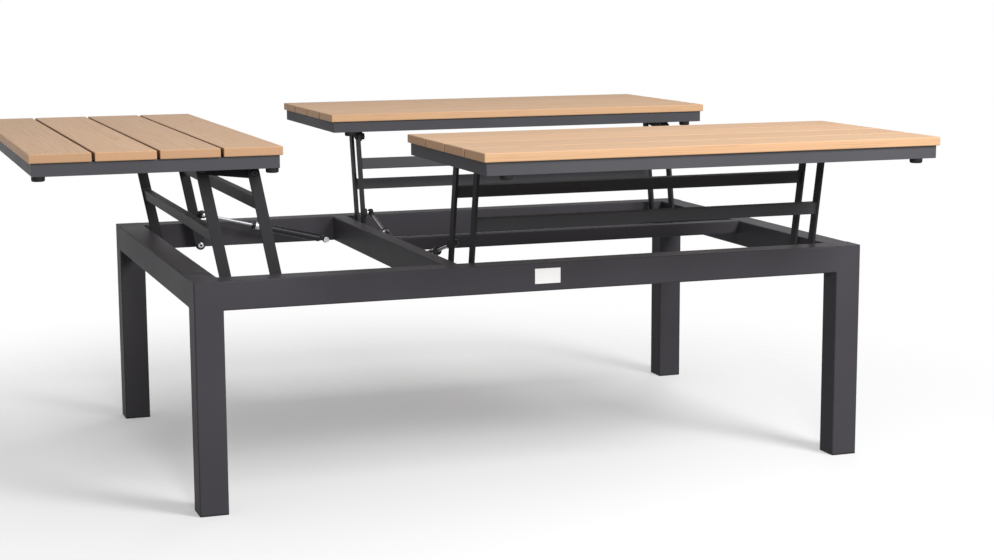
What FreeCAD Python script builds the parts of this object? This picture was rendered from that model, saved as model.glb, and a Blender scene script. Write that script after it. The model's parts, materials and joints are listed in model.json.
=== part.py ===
import FreeCAD, Part
import os
import Sketcher
from math import atan2, cos, degrees, radians, sin
from types import SimpleNamespace

# Low garden table with three teak tops. Each top lifts outward and stays level
# on a parallelogram of four flat links, helped by one gas spring.
# The table stands on z = 0 with its tops open, x along its length, y to its back.

Vector = FreeCAD.Vector
Rotation = FreeCAD.Rotation
Placement = FreeCAD.Placement
X_AXIS = Vector(1, 0, 0)
Y_AXIS = Vector(0, 1, 0)
Z_AXIS = Vector(0, 0, 1)
QUARTER_TURN = 90
SLAT_COUNT = 4
NUT_CORNERS = 6

# Driving dimensions in millimetres, angles in degrees
SIZES = [
    ("frame_height", 400, "floor to the top of the frame"),
    ("tube", 50, "square tube of the legs and outer rails"),
    ("tube_wall", 2, "wall of the frame tubes"),
    ("tube_round", 3, "outer corner radius of the frame tubes"),
    ("cross_rail_width", 30, "rail between the left top and the other two"),
    ("cross_rail_inset", 27.5, "left end of the front and back tops to the cross rail"),
    ("middle_rail_width", 30, "rail between the front and back tops"),
    ("middle_rail_height", 25, "shallow, so that the gas springs pass below it"),
    ("cap_thickness", 2, "plate welded into the top of each leg"),
    ("glide_thickness", 3, "plastic glide below each leg"),
    ("glide_plug", 12, "plug of the glide inside the leg"),
    ("plug_clearance", 0.1, "plug to the leg wall"),
    ("top_depth", 415, "outer to inner edge of each top"),
    ("top_gap", 5, "gap between neighbouring tops when closed"),
    ("slat_thickness", 15, "teak board"),
    ("slat_gap", 5, "gap between the boards of a top"),
    ("slat_round", 2, "rounded long edges of the boards"),
    ("overhang", 5, "boards past the metal frame below them"),
    ("subframe_tube", 22, "metal frame of a top, both ways"),
    ("subframe_wall", 1.5, "its wall"),
    ("batten_inset", 127.5, "end of a top to its outer battens"),
    ("buffer_diameter", 22, "rubber buffer"),
    ("buffer_height", 8, "rubber buffer below the metal frame"),
    ("buffer_round", 1.5, "rounded lower edge of a buffer"),
    ("side_buffer_in", 38, "right end of the front and back tops to their buffers"),
    ("closed_gap", 0.3, "buffer to frame when a top is down"),
    ("link_length", 220, "pivot to pivot"),
    ("link_width", 20, "flat bar of the links"),
    ("link_thickness", 5, "flat bar of the links"),
    ("open_lean", 11, "links past upright when open, degrees"),
    ("outer_pivot_in", 23, "rail's inner face to the outer links' base pivot"),
    ("outer_pivot_raise", 10, "outer links' pivots above the inner ones"),
    ("spacer_diameter", 14, "bush between rail and link"),
    ("spacer_length", 12, "bush between rail and inner link"),
    ("side_shift", 7, "links, plates and spring of a unit, off its middle along the rail"),
    ("running_gap", 0.3, "side play beside a turning link"),
    ("pin_diameter", 8, "shoulder of the pivot bolts"),
    ("pin_clearance", 0.05, "radial play on pins and rods"),
    ("thread_diameter", 6, "threaded end of the base bolts and studs"),
    ("thread_length", 10, "threaded end inside the rail"),
    ("rivet_nut_diameter", 9, "insert nut in the rail wall"),
    ("rivet_nut_length", 8, "insert nut in the rail wall"),
    ("nut_clearance", 0.5, "insert nut to the lower wall of its rail"),
    ("head_diameter", 13, "heads of the pivot bolts"),
    ("head_height", 4, "heads of the pivot bolts"),
    ("nut_corner_radius", 7.5, "hexagon nut, centre to corner"),
    ("nut_height", 6, "hexagon nut"),
    ("bar_height", 22, "tube of the cross bars, along the links"),
    ("bar_depth", 12, "tube of the cross bars, across the links"),
    ("bar_wall", 1.5, "tube of the cross bars"),
    ("low_bar_up", 102, "cross bar along the outer links"),
    ("high_bar_up", 163, "cross bar along the inner links"),
    ("high_bar_in", 4, "high cross bar behind the middle of its links"),
    ("bracket_thickness", 4, "plate that carries a top's pivots"),
    ("bracket_nose", 10, "radius of the plate round a pivot"),
    ("bracket_flange", 32, "foot of the plate below the boards"),
    ("bracket_reach", 33.5, "boards' underside to the inner pivots of a top"),
    ("bracket_gap", 1.4, "plate to the metal frame of the top"),
    ("ear_up", 61, "spring ear along the inner link"),
    ("ear_in", 17, "spring ear beside the link's middle line"),
    ("ear_radius", 8, "round end of the ear"),
    ("left_stud_off", 25.5, "cross rail to the left spring's frame stud"),
    ("side_stud_off", 19.5, "table's middle to the front and back springs' frame studs"),
    ("spring_offset", 26, "rail face to the spring's axis"),
    ("spring_tube_diameter", 15, "gas spring body"),
    ("spring_tube_wall", 1.5, "gas spring body"),
    ("spring_collar", 1, "collar at the mouth, beyond the body"),
    ("spring_guide", 6, "length of the rod guide at the mouth"),
    ("bore_overrun", 3, "bores cut past the faces that they open"),
    ("rod_diameter", 6, "gas spring rod"),
    ("joint_pin", 8, "pins and neck at the ends of a spring"),
    ("rod_show", 45, "mouth to the rod's stud when closed"),
    ("piston_length", 8, "piston on the rod"),
    ("piston_spare", 4, "piston to the rod guide when open"),
    ("eye_diameter", 14, "eyes at both ends of a spring"),
    ("eye_thickness", 10, "eyes at both ends of a spring"),
    ("neck_length", 14, "eye's middle to the closed end of the body"),
    ("stud_shoulder", 12, "shoulder diameter of the frame stud"),
    ("stud_head_diameter", 12, "retaining head of the frame stud"),
    ("stud_head", 2, "retaining head of the frame stud"),
]

doc = FreeCAD.newDocument("lift_top_table")
sheet = doc.addObject("Spreadsheet::Sheet", "sizes")
for row, (alias, value, meaning) in enumerate(SIZES, start=1):
    sheet.set(f"A{row}", meaning)
    sheet.set(f"B{row}", str(value))
    sheet.setAlias(f"B{row}", alias)
doc.recompute()
mm = SimpleNamespace(**{alias: float(sheet.get(alias)) for alias, _, _ in SIZES})

# Worked-out sizes that several pieces share
TOP_LENGTH = "(2 * sizes.top_depth + sizes.top_gap)"
FRAME_LENGTH = f"(sizes.top_depth + sizes.top_gap + {TOP_LENGTH})"
SUBFRAME_DEPTH = "(sizes.top_depth - 2 * sizes.overhang)"
SUBFRAME_LENGTH = f"({TOP_LENGTH} - 2 * sizes.overhang)"
PIN_HOLE = "(sizes.pin_diameter / 2 + sizes.pin_clearance)"
THREAD_HOLE = "(sizes.thread_diameter / 2 + sizes.pin_clearance)"
INNER_PIVOT_UP = "(sizes.tube_wall + sizes.nut_clearance + sizes.rivet_nut_diameter / 2)"
OUTER_SPACER = (
    "(sizes.spacer_length + sizes.link_thickness + sizes.bracket_thickness + 2 * sizes.running_gap)"
)
TOP_PIVOT_IN = "(sizes.overhang + sizes.subframe_tube + sizes.bracket_gap + sizes.bracket_nose)"

# Rise of the closed links above level, from the heights of both ends
SIN_RISE = (
    f"((sizes.closed_gap + sizes.buffer_height + sizes.subframe_tube + sizes.tube - {INNER_PIVOT_UP}"
    " - sizes.bracket_reach) / sizes.link_length)"
)
COS_RISE = f"sqrt(1 - {SIN_RISE}^2)"
INNER_PIVOT_IN = f"(sizes.top_depth - {TOP_PIVOT_IN} - sizes.link_length * {COS_RISE})"
PIVOT_SPACING = f"({INNER_PIVOT_IN} - sizes.tube - sizes.outer_pivot_in)"
LEFT_SPRING_REACH = (
    "(sizes.top_depth + sizes.top_gap + sizes.cross_rail_inset - sizes.left_stud_off"
    f" - {INNER_PIVOT_IN})"
)
SIDE_SPRING_REACH = f"({TOP_LENGTH} / 2 - sizes.side_stud_off - {INNER_PIVOT_IN})"


def number(expression):
    """Value of an expression on the sheet."""
    value = sheet.evalExpression(expression)
    return float(getattr(value, "Value", value))


lean = radians(mm.open_lean)
travel = mm.link_length * (sin(lean) + number(COS_RISE))
lift = mm.link_length * (cos(lean) - number(SIN_RISE))
top_length = number(TOP_LENGTH)
frame_length = number(FRAME_LENGTH)
half_width = top_length / 2
left_edge = (travel - frame_length) / 2
right_edge = left_edge + frame_length
rail_middle = mm.frame_height - mm.tube / 2
side_top_middle = right_edge - top_length / 2
cross_rail_left = right_edge - top_length + mm.cross_rail_inset
cross_rail_right = cross_rail_left + mm.cross_rail_width

link_outer_face = mm.spacer_length + mm.running_gap
link_inner_face = link_outer_face + mm.link_thickness
bracket_face = link_inner_face + mm.running_gap
outer_link_face = number(OUTER_SPACER) + mm.running_gap

parts = []


def keep(obj, label, placement=None):
    """Names a finished sub-part, places it and puts it on the list of files."""
    obj.Label = label
    if placement is not None:
        obj.Placement = placement
    parts.append(obj)
    return obj


def new_sketch(body, role):
    """Starts a sketch on one of the body's own origin planes."""
    sketch = body.newObject("Sketcher::SketchObject", "profile")
    plane = next(feature for feature in body.Origin.OriginFeatures if feature.Role == role)
    sketch.AttachmentSupport = [(plane, "")]
    sketch.MapMode = "FlatFace"
    return sketch


def dimension(sketch, name, expression, *constraint):
    """Adds a named dimension and binds it to the sheet."""
    index = sketch.addConstraint(Sketcher.Constraint(*constraint))
    sketch.renameConstraint(index, name)
    sketch.setExpression(f"Constraints.{name}", expression)


def draw_rectangle(sketch, name, width, height):
    """Rectangle about the sketch's origin."""
    first = sketch.GeometryCount
    x = number(width) / 2
    y = number(height) / 2
    corners = [Vector(-x, -y, 0), Vector(x, -y, 0), Vector(x, y, 0), Vector(-x, y, 0)]
    for start, end in zip(corners, corners[1:] + corners[:1]):
        sketch.addGeometry(Part.LineSegment(start, end), False)
    for side in range(4):
        sketch.addConstraint(
            Sketcher.Constraint("Coincident", first + side, 2, first + (side + 1) % 4, 1)
        )
    for side in (0, 2):
        sketch.addConstraint(Sketcher.Constraint("Horizontal", first + side))
        sketch.addConstraint(Sketcher.Constraint("Vertical", first + side + 1))
    sketch.addConstraint(Sketcher.Constraint("Symmetric", first, 1, first + 1, 2, -1, 1))
    dimension(sketch, f"{name}_width", width, "DistanceX", first, 1, first, 2, 2 * x)
    dimension(sketch, f"{name}_height", height, "DistanceY", first + 1, 1, first + 1, 2, 2 * y)


def draw_circle(sketch, name, radius, x=None, y=None):
    """Circle at a distance x, y from the origin, where given, or on the origin's axes."""
    x_at = number(x) if x else 0
    y_at = number(y) if y else 0
    circle = sketch.addGeometry(
        Part.Circle(Vector(x_at, y_at, 0), Vector(0, 0, 1), number(radius)), False
    )
    dimension(sketch, f"{name}_radius", radius, "Radius", circle, number(radius))
    if x:
        dimension(sketch, f"{name}_x", x, "DistanceX", -1, 1, circle, 3, x_at)
    else:
        sketch.addConstraint(Sketcher.Constraint("PointOnObject", circle, 3, -2))
    if y:
        dimension(sketch, f"{name}_y", y, "DistanceY", -1, 1, circle, 3, y_at)
    else:
        sketch.addConstraint(Sketcher.Constraint("PointOnObject", circle, 3, -1))
    return circle


def pad(body, sketch, length, symmetric=True, reverse=False):
    """Pads a sketch, to both sides of its plane or to one."""
    feature = body.newObject("PartDesign::Pad", "pad")
    feature.Profile = sketch
    feature.setExpression("Length", length)
    feature.SideType = "Symmetric" if symmetric else "One side"
    feature.Reversed = reverse
    doc.recompute()
    return feature


def pocket(body, sketch, length, reverse=False):
    """Pockets a sketch to one side of its plane and makes sure that it cut something."""
    before = body.Shape.Volume
    feature = body.newObject("PartDesign::Pocket", "pocket")
    feature.Profile = sketch
    feature.setExpression("Length", length)
    feature.Reversed = reverse
    doc.recompute()
    if body.Shape.Volume >= before:
        raise RuntimeError(f"{body.Label}: pocket cut nothing")
    return feature


def round_long_edges(body, feature, width, height, radius):
    """Fillets the four outer edges that run along the body's own z."""
    corner = Vector(number(width) / 2, number(height) / 2, 0)
    chosen = []
    for index, edge in enumerate(feature.Shape.Edges, start=1):
        middle = edge.CenterOfMass
        at_corner = abs(abs(middle.x) - corner.x) < 1e-6 and abs(abs(middle.y) - corner.y) < 1e-6
        if at_corner and len(edge.Vertexes) == 2:
            chosen.append(f"Edge{index}")
    fillet = body.newObject("PartDesign::Fillet", "rounding")
    fillet.Base = (feature, chosen)
    fillet.setExpression("Radius", radius)
    doc.recompute()


def square_tube(name, width, height, length, wall, rounding):
    """Hollow tube along its own z, about its own middle."""
    body = doc.addObject("PartDesign::Body", name)
    sketch = new_sketch(body, "XY_Plane")
    draw_rectangle(sketch, "outside", width, height)
    draw_rectangle(sketch, "inside", f"{width} - 2 * {wall}", f"{height} - 2 * {wall}")
    feature = pad(body, sketch, length)
    if rounding:
        round_long_edges(body, feature, width, height, rounding)
    return body


def rounded_bar(name, width, height, length, rounding):
    """Solid bar along its own z, about its own middle, with rounded long edges."""
    body = doc.addObject("PartDesign::Body", name)
    sketch = new_sketch(body, "XY_Plane")
    draw_rectangle(sketch, "outside", width, height)
    feature = pad(body, sketch, length)
    round_long_edges(body, feature, width, height, rounding)
    return body


def cylinder(diameter, length, start=0.0, along=Z_AXIS):
    """Cylinder along an axis from a starting height on it."""
    solid = doc.addObject("Part::Cylinder", "cylinder")
    solid.setExpression("Radius", f"({diameter}) / 2")
    solid.setExpression("Height", length)
    solid.Placement = Placement(along * start, Rotation(Z_AXIS, along))
    return solid


def fuse(name, solids):
    """One solid from several."""
    joined = doc.addObject("Part::MultiFuse", name)
    joined.Shapes = solids
    joined.Refine = True
    return joined


def cut(name, base, tool):
    """One solid less another."""
    rest = doc.addObject("Part::Cut", name)
    rest.Base = base
    rest.Tool = tool
    return rest


def group(label, items):
    """Separate solids in one node; each item is a solid and its placement."""
    copies = []
    for solid, placement in items:
        copy = doc.addObject("App::Link", "copy")
        copy.LinkedObject = solid
        copy.Placement = placement
        copies.append(copy)
    compound = doc.addObject("Part::Compound", label)
    compound.Links = copies
    return keep(compound, label)


class Unit:
    """One lifting top. Its own x runs inward from the frame's edge and its y along the rail.

    The near side has the gas spring. Links, plates and spring form one set of lift gear, the
    same in every unit and set off its middle, so that the bushes differ on its two sides.
    """

    def __init__(self, name, origin, turn, near, near_face, spring_reach, buffer_insets):
        self.name = name
        self.home = Placement(origin, Rotation(Z_AXIS, turn))
        self.near = near
        self.near_face = near_face
        self.far_face = half_width - mm.tube
        self.spring_reach = spring_reach
        self.near_buffer, self.far_buffer = buffer_insets

    def place(self, x, y, z, tilt=Rotation()):
        return self.home.multiply(Placement(Vector(x, y, z), tilt))

    def sides(self):
        """Name, direction and rail face of the near and far side."""
        return (("near", self.near, self.near_face), ("far", -self.near, self.far_face))

    def gear_sides(self):
        """As sides, with the faces shifted: the lines from which the gear is set, inward."""
        return [(name, way, face - way * mm.side_shift) for name, way, face in self.sides()]


inner_pivot = Vector(number(INNER_PIVOT_IN), 0, mm.frame_height - mm.tube + number(INNER_PIVOT_UP))
outer_pivot = inner_pivot + Vector(-number(PIVOT_SPACING), 0, mm.outer_pivot_raise)
along_link = Vector(-sin(lean), 0, cos(lean))
beside_link = Vector(cos(lean), 0, sin(lean))
link_tilt = Rotation(Y_AXIS, -mm.open_lean)
inner_top_pivot = inner_pivot + along_link * mm.link_length
outer_top_pivot = outer_pivot + along_link * mm.link_length
subframe_bottom = mm.frame_height + mm.closed_gap + mm.buffer_height + lift

end_buffer = mm.overhang + mm.subframe_tube / 2
cross_rail_buffer = mm.cross_rail_inset + mm.cross_rail_width / 2
side_top_near_face = side_top_middle - cross_rail_right
units = [
    Unit("left", Vector(left_edge, 0, 0), 0, 1, half_width - mm.tube,
         LEFT_SPRING_REACH, (end_buffer, end_buffer)),
    Unit("front", Vector(side_top_middle, -half_width, 0), QUARTER_TURN, 1, side_top_near_face,
         SIDE_SPRING_REACH, (cross_rail_buffer, mm.side_buffer_in)),
    Unit("back", Vector(side_top_middle, half_width, 0), -QUARTER_TURN, -1, side_top_near_face,
         SIDE_SPRING_REACH, (cross_rail_buffer, mm.side_buffer_in)),
]


def make_legs():
    """Four legs, each with a plate welded flush into its top and a plastic glide below."""
    height = "sizes.frame_height - sizes.glide_thickness"
    middle = (mm.frame_height + mm.glide_thickness) / 2
    inside = "sizes.tube - 2 * sizes.tube_wall"
    cap = doc.addObject("PartDesign::Body", "cap")
    plate = new_sketch(cap, "XY_Plane")
    draw_rectangle(plate, "plate", inside, inside)
    pad(cap, plate, "sizes.cap_thickness")
    glide = rounded_bar("glide", "sizes.tube", "sizes.tube", "sizes.glide_thickness", "sizes.tube_round")
    plug = new_sketch(glide, "XY_Plane")
    plug_width = f"{inside} - 2 * sizes.plug_clearance"
    draw_rectangle(plug, "plug", plug_width, plug_width)
    pad(glide, plug, "sizes.glide_thickness / 2 + sizes.glide_plug", symmetric=False)
    caps = []
    glides = []
    for depth, y in (("front", -1), ("back", 1)):
        for side, x in (("left", left_edge + mm.tube / 2), ("right", right_edge - mm.tube / 2)):
            leg = square_tube("leg", "sizes.tube", "sizes.tube", height,
                              "sizes.tube_wall", "sizes.tube_round")
            foot = Vector(x, y * (half_width - mm.tube / 2), 0)
            keep(leg, f"leg_{depth}_{side}", Placement(foot + Z_AXIS * middle, Rotation()))
            cap_middle = mm.frame_height - mm.cap_thickness / 2
            caps.append((cap, Placement(foot + Z_AXIS * cap_middle, Rotation())))
            glides.append((glide, Placement(foot + Z_AXIS * mm.glide_thickness / 2, Rotation())))
    group("leg_caps", caps)
    group("foot_glides", glides)


def drill_rail(rail, points, reverse, depth):
    """Threaded holes through one wall of a rail, at points along it and above its middle."""
    sketch = new_sketch(rail, "YZ_Plane")
    for index, (up, along) in enumerate(points):
        circle = sketch.addGeometry(
            Part.Circle(Vector(up, along, 0), Vector(0, 0, 1), number(THREAD_HOLE)), False
        )
        dimension(sketch, f"hole_{index}", THREAD_HOLE, "Radius", circle, number(THREAD_HOLE))
        sketch.addConstraint(Sketcher.Constraint("DistanceX", -1, 1, circle, 3, up))
        sketch.addConstraint(Sketcher.Constraint("DistanceY", -1, 1, circle, 3, along))
    pocket(rail, sketch, depth, reverse)


def frame_points(unit):
    """Base pivots and spring stud of a unit, with the side that each is on."""
    stud = inner_pivot + Vector(number(unit.spring_reach), 0, 0)
    pivots = [(name, pivot) for name in ("near", "far") for pivot in (inner_pivot, outer_pivot)]
    return pivots + [("near", stud)]


def make_rails():
    """Outer rails between the legs, the cross rail and the shallow middle rail.

    A rail's own z runs along it, its own y points up and its own x to one of its sides.
    """
    upright_y = Rotation(Vector(-1, 0, 0), Z_AXIS, Y_AXIS, "ZYX")
    upright_x = Rotation(Y_AXIS, Z_AXIS, X_AXIS, "ZYX")
    long_rail = f"{FRAME_LENGTH} - 2 * sizes.tube"
    short_rail = f"{TOP_LENGTH} - 2 * sizes.tube"
    frame_middle = (left_edge + right_edge) / 2
    edge = half_width - mm.tube / 2
    tube_sizes = ("sizes.tube", "sizes.tube")
    finish = ("sizes.tube_wall", "sizes.tube_round")

    front = keep(square_tube("rail", *tube_sizes, long_rail, *finish), "front_rail",
                 Placement(Vector(frame_middle, -edge, rail_middle), upright_x))
    back = keep(square_tube("rail", *tube_sizes, long_rail, *finish), "back_rail",
                Placement(Vector(frame_middle, edge, rail_middle), upright_x))
    keep(square_tube("rail", *tube_sizes, short_rail, *finish), "left_rail",
         Placement(Vector(left_edge + mm.tube / 2, 0, rail_middle), upright_y))
    right = keep(square_tube("rail", *tube_sizes, short_rail, *finish), "right_rail",
                 Placement(Vector(right_edge - mm.tube / 2, 0, rail_middle), upright_y))
    cross_tube = square_tube("rail", "sizes.cross_rail_width", "sizes.tube", short_rail, *finish)
    cross = keep(cross_tube, "cross_rail",
                 Placement(Vector((cross_rail_left + cross_rail_right) / 2, 0, rail_middle), upright_y))
    middle_run = f"{TOP_LENGTH} - sizes.cross_rail_inset - sizes.cross_rail_width - sizes.tube"
    middle = square_tube("rail", "sizes.middle_rail_width", "sizes.middle_rail_height", middle_run, *finish)
    keep(middle, "middle_rail",
         Placement(Vector((cross_rail_right + right_edge - mm.tube) / 2, 0,
                          mm.frame_height - mm.middle_rail_height / 2), upright_x))

    # Holes on the side of each rail that faces its links
    holes = {"front_rail": [], "back_rail": [], "cross_rail": [], "right_rail": []}
    left, *side_units = units
    carriers = [(left, {"near": back, "far": front})]
    carriers += [(unit, {"near": cross, "far": right}) for unit in side_units]
    for unit, rails in carriers:
        for side, point in frame_points(unit):
            rail = rails[side]
            local = rail.Placement.inverse().multVec(unit.place(point.x, 0, point.z).Base)
            holes[rail.Label].append((local.y, local.z))
    for rail in (front, back, cross, right):
        inward = rail.Placement.Rotation.multVec(X_AXIS)
        toward_middle = Vector(side_top_middle, 0, rail_middle) - rail.Placement.Base
        width = "sizes.cross_rail_width" if rail is cross else "sizes.tube"
        drill_rail(rail, holes[rail.Label], inward.dot(toward_middle) > 0, f"{width} / 2")


def make_pivot_set(spacer_length):
    """Shoulder bolt and bush of a base pivot, for one length of bush."""
    shoulder = f"{spacer_length} + sizes.link_thickness + 2 * sizes.running_gap"
    bolt = fuse("base_bolt", [
        cylinder("sizes.head_diameter", "sizes.head_height", number(shoulder)),
        cylinder("sizes.pin_diameter", shoulder),
        cylinder("sizes.thread_diameter", "sizes.thread_length", -mm.thread_length),
    ])
    spacer = cut("spacer", cylinder("sizes.spacer_diameter", spacer_length),
                 cylinder(f"2 * {PIN_HOLE}", spacer_length))
    return bolt, spacer


def make_stud(stand):
    """Stud of a gas spring in the rail, for one distance from the rail face to the spring's axis."""
    shoulder = f"{stand} - sizes.eye_thickness / 2 - sizes.running_gap"
    pin = "sizes.eye_thickness + 2 * sizes.running_gap"
    return fuse("stud", [
        cylinder("sizes.thread_diameter", "sizes.thread_length", -mm.thread_length),
        cylinder("sizes.stud_shoulder", shoulder),
        cylinder("sizes.joint_pin", pin, number(shoulder)),
        cylinder("sizes.stud_head_diameter", "sizes.stud_head", number(f"{shoulder} + {pin}")),
    ])


def make_frame_fasteners():
    """Pivot bolts, bushes, insert nuts and spring studs on the faces of the rails."""
    shifts = {1: "+ sizes.side_shift", -1: "- sizes.side_shift"}
    pivot_sets = {}
    stud_set = {}
    for way, shift in shifts.items():
        pivot_sets[way] = [make_pivot_set(f"({spacer} {shift})")
                           for spacer in ("sizes.spacer_length", OUTER_SPACER)]
        stud_set[way] = make_stud(f"sizes.spring_offset {shift}")
    insert_start = -mm.tube_wall - mm.rivet_nut_length
    insert = cut("insert", cylinder("sizes.rivet_nut_diameter", "sizes.rivet_nut_length", insert_start),
                 cylinder(f"2 * {THREAD_HOLE}", "sizes.rivet_nut_length", insert_start))
    bolts = []
    spacers = []
    inserts = []
    studs = []
    for unit in units:
        faces = {name: (direction, face) for name, direction, face in unit.sides()}
        for index, (side, point) in enumerate(frame_points(unit)):
            direction, face = faces[side]
            seat = unit.place(point.x, direction * face, point.z, Rotation(X_AXIS, QUARTER_TURN * direction))
            inserts.append((insert, seat))
            if index < 4:
                bolt, spacer = pivot_sets[direction][index % 2]
                bolts.append((bolt, seat))
                spacers.append((spacer, seat))
            else:
                studs.append((stud_set[direction], seat))
    group("base_bolts", bolts)
    group("base_spacers", spacers)
    group("insert_nuts", inserts)
    group("spring_studs", studs)


def draw_slot(sketch, name, radius, length, upright):
    """Slot outline from the origin along the sketch's y or x."""
    r = number(radius)
    run = number(length)
    first = sketch.GeometryCount
    heading = Vector(0, 1, 0) if upright else Vector(1, 0, 0)
    across = Vector(1, 0, 0) if upright else Vector(0, -1, 0)
    end = heading * run
    ends = [
        (across.negative() * r, heading.negative() * r, across * r),
        (end + across * r, end + heading * r, end + across.negative() * r),
    ]
    for start, middle, stop in ends:
        sketch.addGeometry(Part.Arc(start, middle, stop), False)
    sketch.addGeometry(Part.LineSegment(ends[0][2], ends[1][0]), False)
    sketch.addGeometry(Part.LineSegment(ends[1][2], ends[0][0]), False)
    for arc, corner, line, line_end in ((0, 2, 2, 1), (1, 1, 2, 2), (1, 2, 3, 1), (0, 1, 3, 2)):
        sketch.addConstraint(Sketcher.Constraint("Tangent", first + arc, corner, first + line, line_end))
    sketch.addConstraint(Sketcher.Constraint("Equal", first, first + 1))
    dimension(sketch, f"{name}_radius", radius, "Radius", first, r)
    return first


def make_link(name, ear):
    """Flat link from its base pivot up, with an ear for the gas spring where asked."""
    body = doc.addObject("PartDesign::Body", name)
    sketch = new_sketch(body, "XZ_Plane")
    slot = draw_slot(sketch, "bar", "sizes.link_width / 2", "sizes.link_length", True)
    sketch.addConstraint(Sketcher.Constraint("Coincident", slot, 3, -1, 1))
    sketch.addConstraint(Sketcher.Constraint("PointOnObject", slot + 1, 3, -2))
    dimension(sketch, "bar_length", "sizes.link_length",
              "DistanceY", slot, 3, slot + 1, 3, mm.link_length)
    draw_circle(sketch, "base_hole", PIN_HOLE)
    draw_circle(sketch, "top_hole", PIN_HOLE, y="sizes.link_length")
    pad(body, sketch, "sizes.link_thickness")
    if ear:
        lobe = new_sketch(body, "XZ_Plane")
        slot = draw_slot(lobe, "ear", "sizes.ear_radius", "sizes.ear_in", False)
        lobe.addConstraint(Sketcher.Constraint("PointOnObject", slot, 3, -2))
        lobe.addConstraint(Sketcher.Constraint("Horizontal", slot, 3, slot + 1, 3))
        dimension(lobe, "ear_reach", "sizes.ear_in", "DistanceX", slot, 3, slot + 1, 3, mm.ear_in)
        dimension(lobe, "ear_height", "sizes.ear_up", "DistanceY", -1, 1, slot, 3, mm.ear_up)
        pad(body, lobe, "sizes.link_thickness")
    return body


def make_crossbar(unit, label, spacer_length, at):
    """Rectangular tube welded between the inner faces of a pair of links."""
    faces = f"2 * ({spacer_length} + sizes.running_gap + sizes.link_thickness)"
    far = f"({TOP_LENGTH} / 2 - sizes.tube)"
    inset = "(sizes.cross_rail_inset + sizes.cross_rail_width)"
    near = far if unit.name == "left" else f"({TOP_LENGTH} / 2 - {inset})"
    body = doc.addObject("PartDesign::Body", "crossbar")
    sketch = new_sketch(body, "XZ_Plane")
    draw_rectangle(sketch, "outside", "sizes.bar_depth", "sizes.bar_height")
    draw_rectangle(sketch, "inside", "sizes.bar_depth - 2 * sizes.bar_wall",
                   "sizes.bar_height - 2 * sizes.bar_wall")
    pad(body, sketch, f"{near} + {far} - {faces}")
    middle = unit.near * (unit.near_face - unit.far_face) / 2 - mm.side_shift
    keep(body, label, unit.place(at.x, middle, at.z, link_tilt))


def make_arms(unit):
    """Outer and inner pair of links, each with its cross bar; the top's plates run between the pairs."""
    pairs = (("outer", outer_pivot, outer_link_face), ("inner", inner_pivot, link_outer_face))
    for pair, pivot, link_face in pairs:
        link_middle = link_face + mm.link_thickness / 2
        for side, direction, face in unit.gear_sides():
            link = make_link("link", ear=pair == "inner" and side == "near")
            keep(link, f"{unit.name}_{pair}_link_{side}",
                 unit.place(pivot.x, direction * (face - link_middle), pivot.z, link_tilt))
    low_bar = outer_pivot + along_link * mm.low_bar_up
    high_bar = inner_pivot + along_link * mm.high_bar_up + beside_link * mm.high_bar_in
    make_crossbar(unit, f"{unit.name}_outer_crossbar", OUTER_SPACER, low_bar)
    make_crossbar(unit, f"{unit.name}_inner_crossbar", "sizes.spacer_length", high_bar)


def make_slats(unit):
    """Teak boards along the top's length, on the metal frame."""
    width = f"(sizes.top_depth - {SLAT_COUNT - 1} * sizes.slat_gap) / {SLAT_COUNT}"
    board = rounded_bar("board", width, "sizes.slat_thickness", TOP_LENGTH, "sizes.slat_round")
    pitch = number(width) + mm.slat_gap
    height = subframe_bottom + mm.subframe_tube + mm.slat_thickness / 2
    flat = Rotation(X_AXIS, -QUARTER_TURN)
    boards = []
    for index in range(SLAT_COUNT):
        x = number(width) / 2 + index * pitch - travel
        boards.append((board, unit.place(x, 0, height, flat)))
    group(f"{unit.name}_slats", boards)


def make_top_frame(unit):
    """Welded channel frame below the boards, open only towards them, and its battens."""
    body = doc.addObject("PartDesign::Body", "subframe")
    sketch = new_sketch(body, "XY_Plane")
    draw_rectangle(sketch, "outside", SUBFRAME_DEPTH, SUBFRAME_LENGTH)
    inner_depth = f"{SUBFRAME_DEPTH} - 2 * sizes.subframe_tube"
    draw_rectangle(sketch, "inside", inner_depth, f"{SUBFRAME_LENGTH} - 2 * sizes.subframe_tube")
    pad(body, sketch, "sizes.subframe_tube")
    channel = new_sketch(body, "XY_Plane")
    draw_rectangle(channel, "outer_wall", f"{SUBFRAME_DEPTH} - 2 * sizes.subframe_wall",
                   f"{SUBFRAME_LENGTH} - 2 * sizes.subframe_wall")
    lip = "2 * (sizes.subframe_tube - sizes.subframe_wall)"
    draw_rectangle(channel, "inner_wall", f"{SUBFRAME_DEPTH} - {lip}", f"{SUBFRAME_LENGTH} - {lip}")
    channel.setExpression(".AttachmentOffset.Base.z", "sizes.subframe_wall - sizes.subframe_tube / 2")
    pocket(body, channel, "sizes.subframe_tube", reverse=True)
    middle = mm.top_depth / 2 - travel
    height = subframe_bottom + mm.subframe_tube / 2
    keep(body, f"{unit.name}_top_frame", unit.place(middle, 0, height))

    batten = square_tube("batten", "sizes.subframe_tube", "sizes.subframe_tube", inner_depth,
                         "sizes.subframe_wall", None)
    along_x = Rotation(Y_AXIS, QUARTER_TURN)
    outer_batten = half_width - mm.batten_inset
    places = (-outer_batten, 0, outer_batten)
    group(f"{unit.name}_battens", [(batten, unit.place(middle, y, height, along_x)) for y in places])


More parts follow.
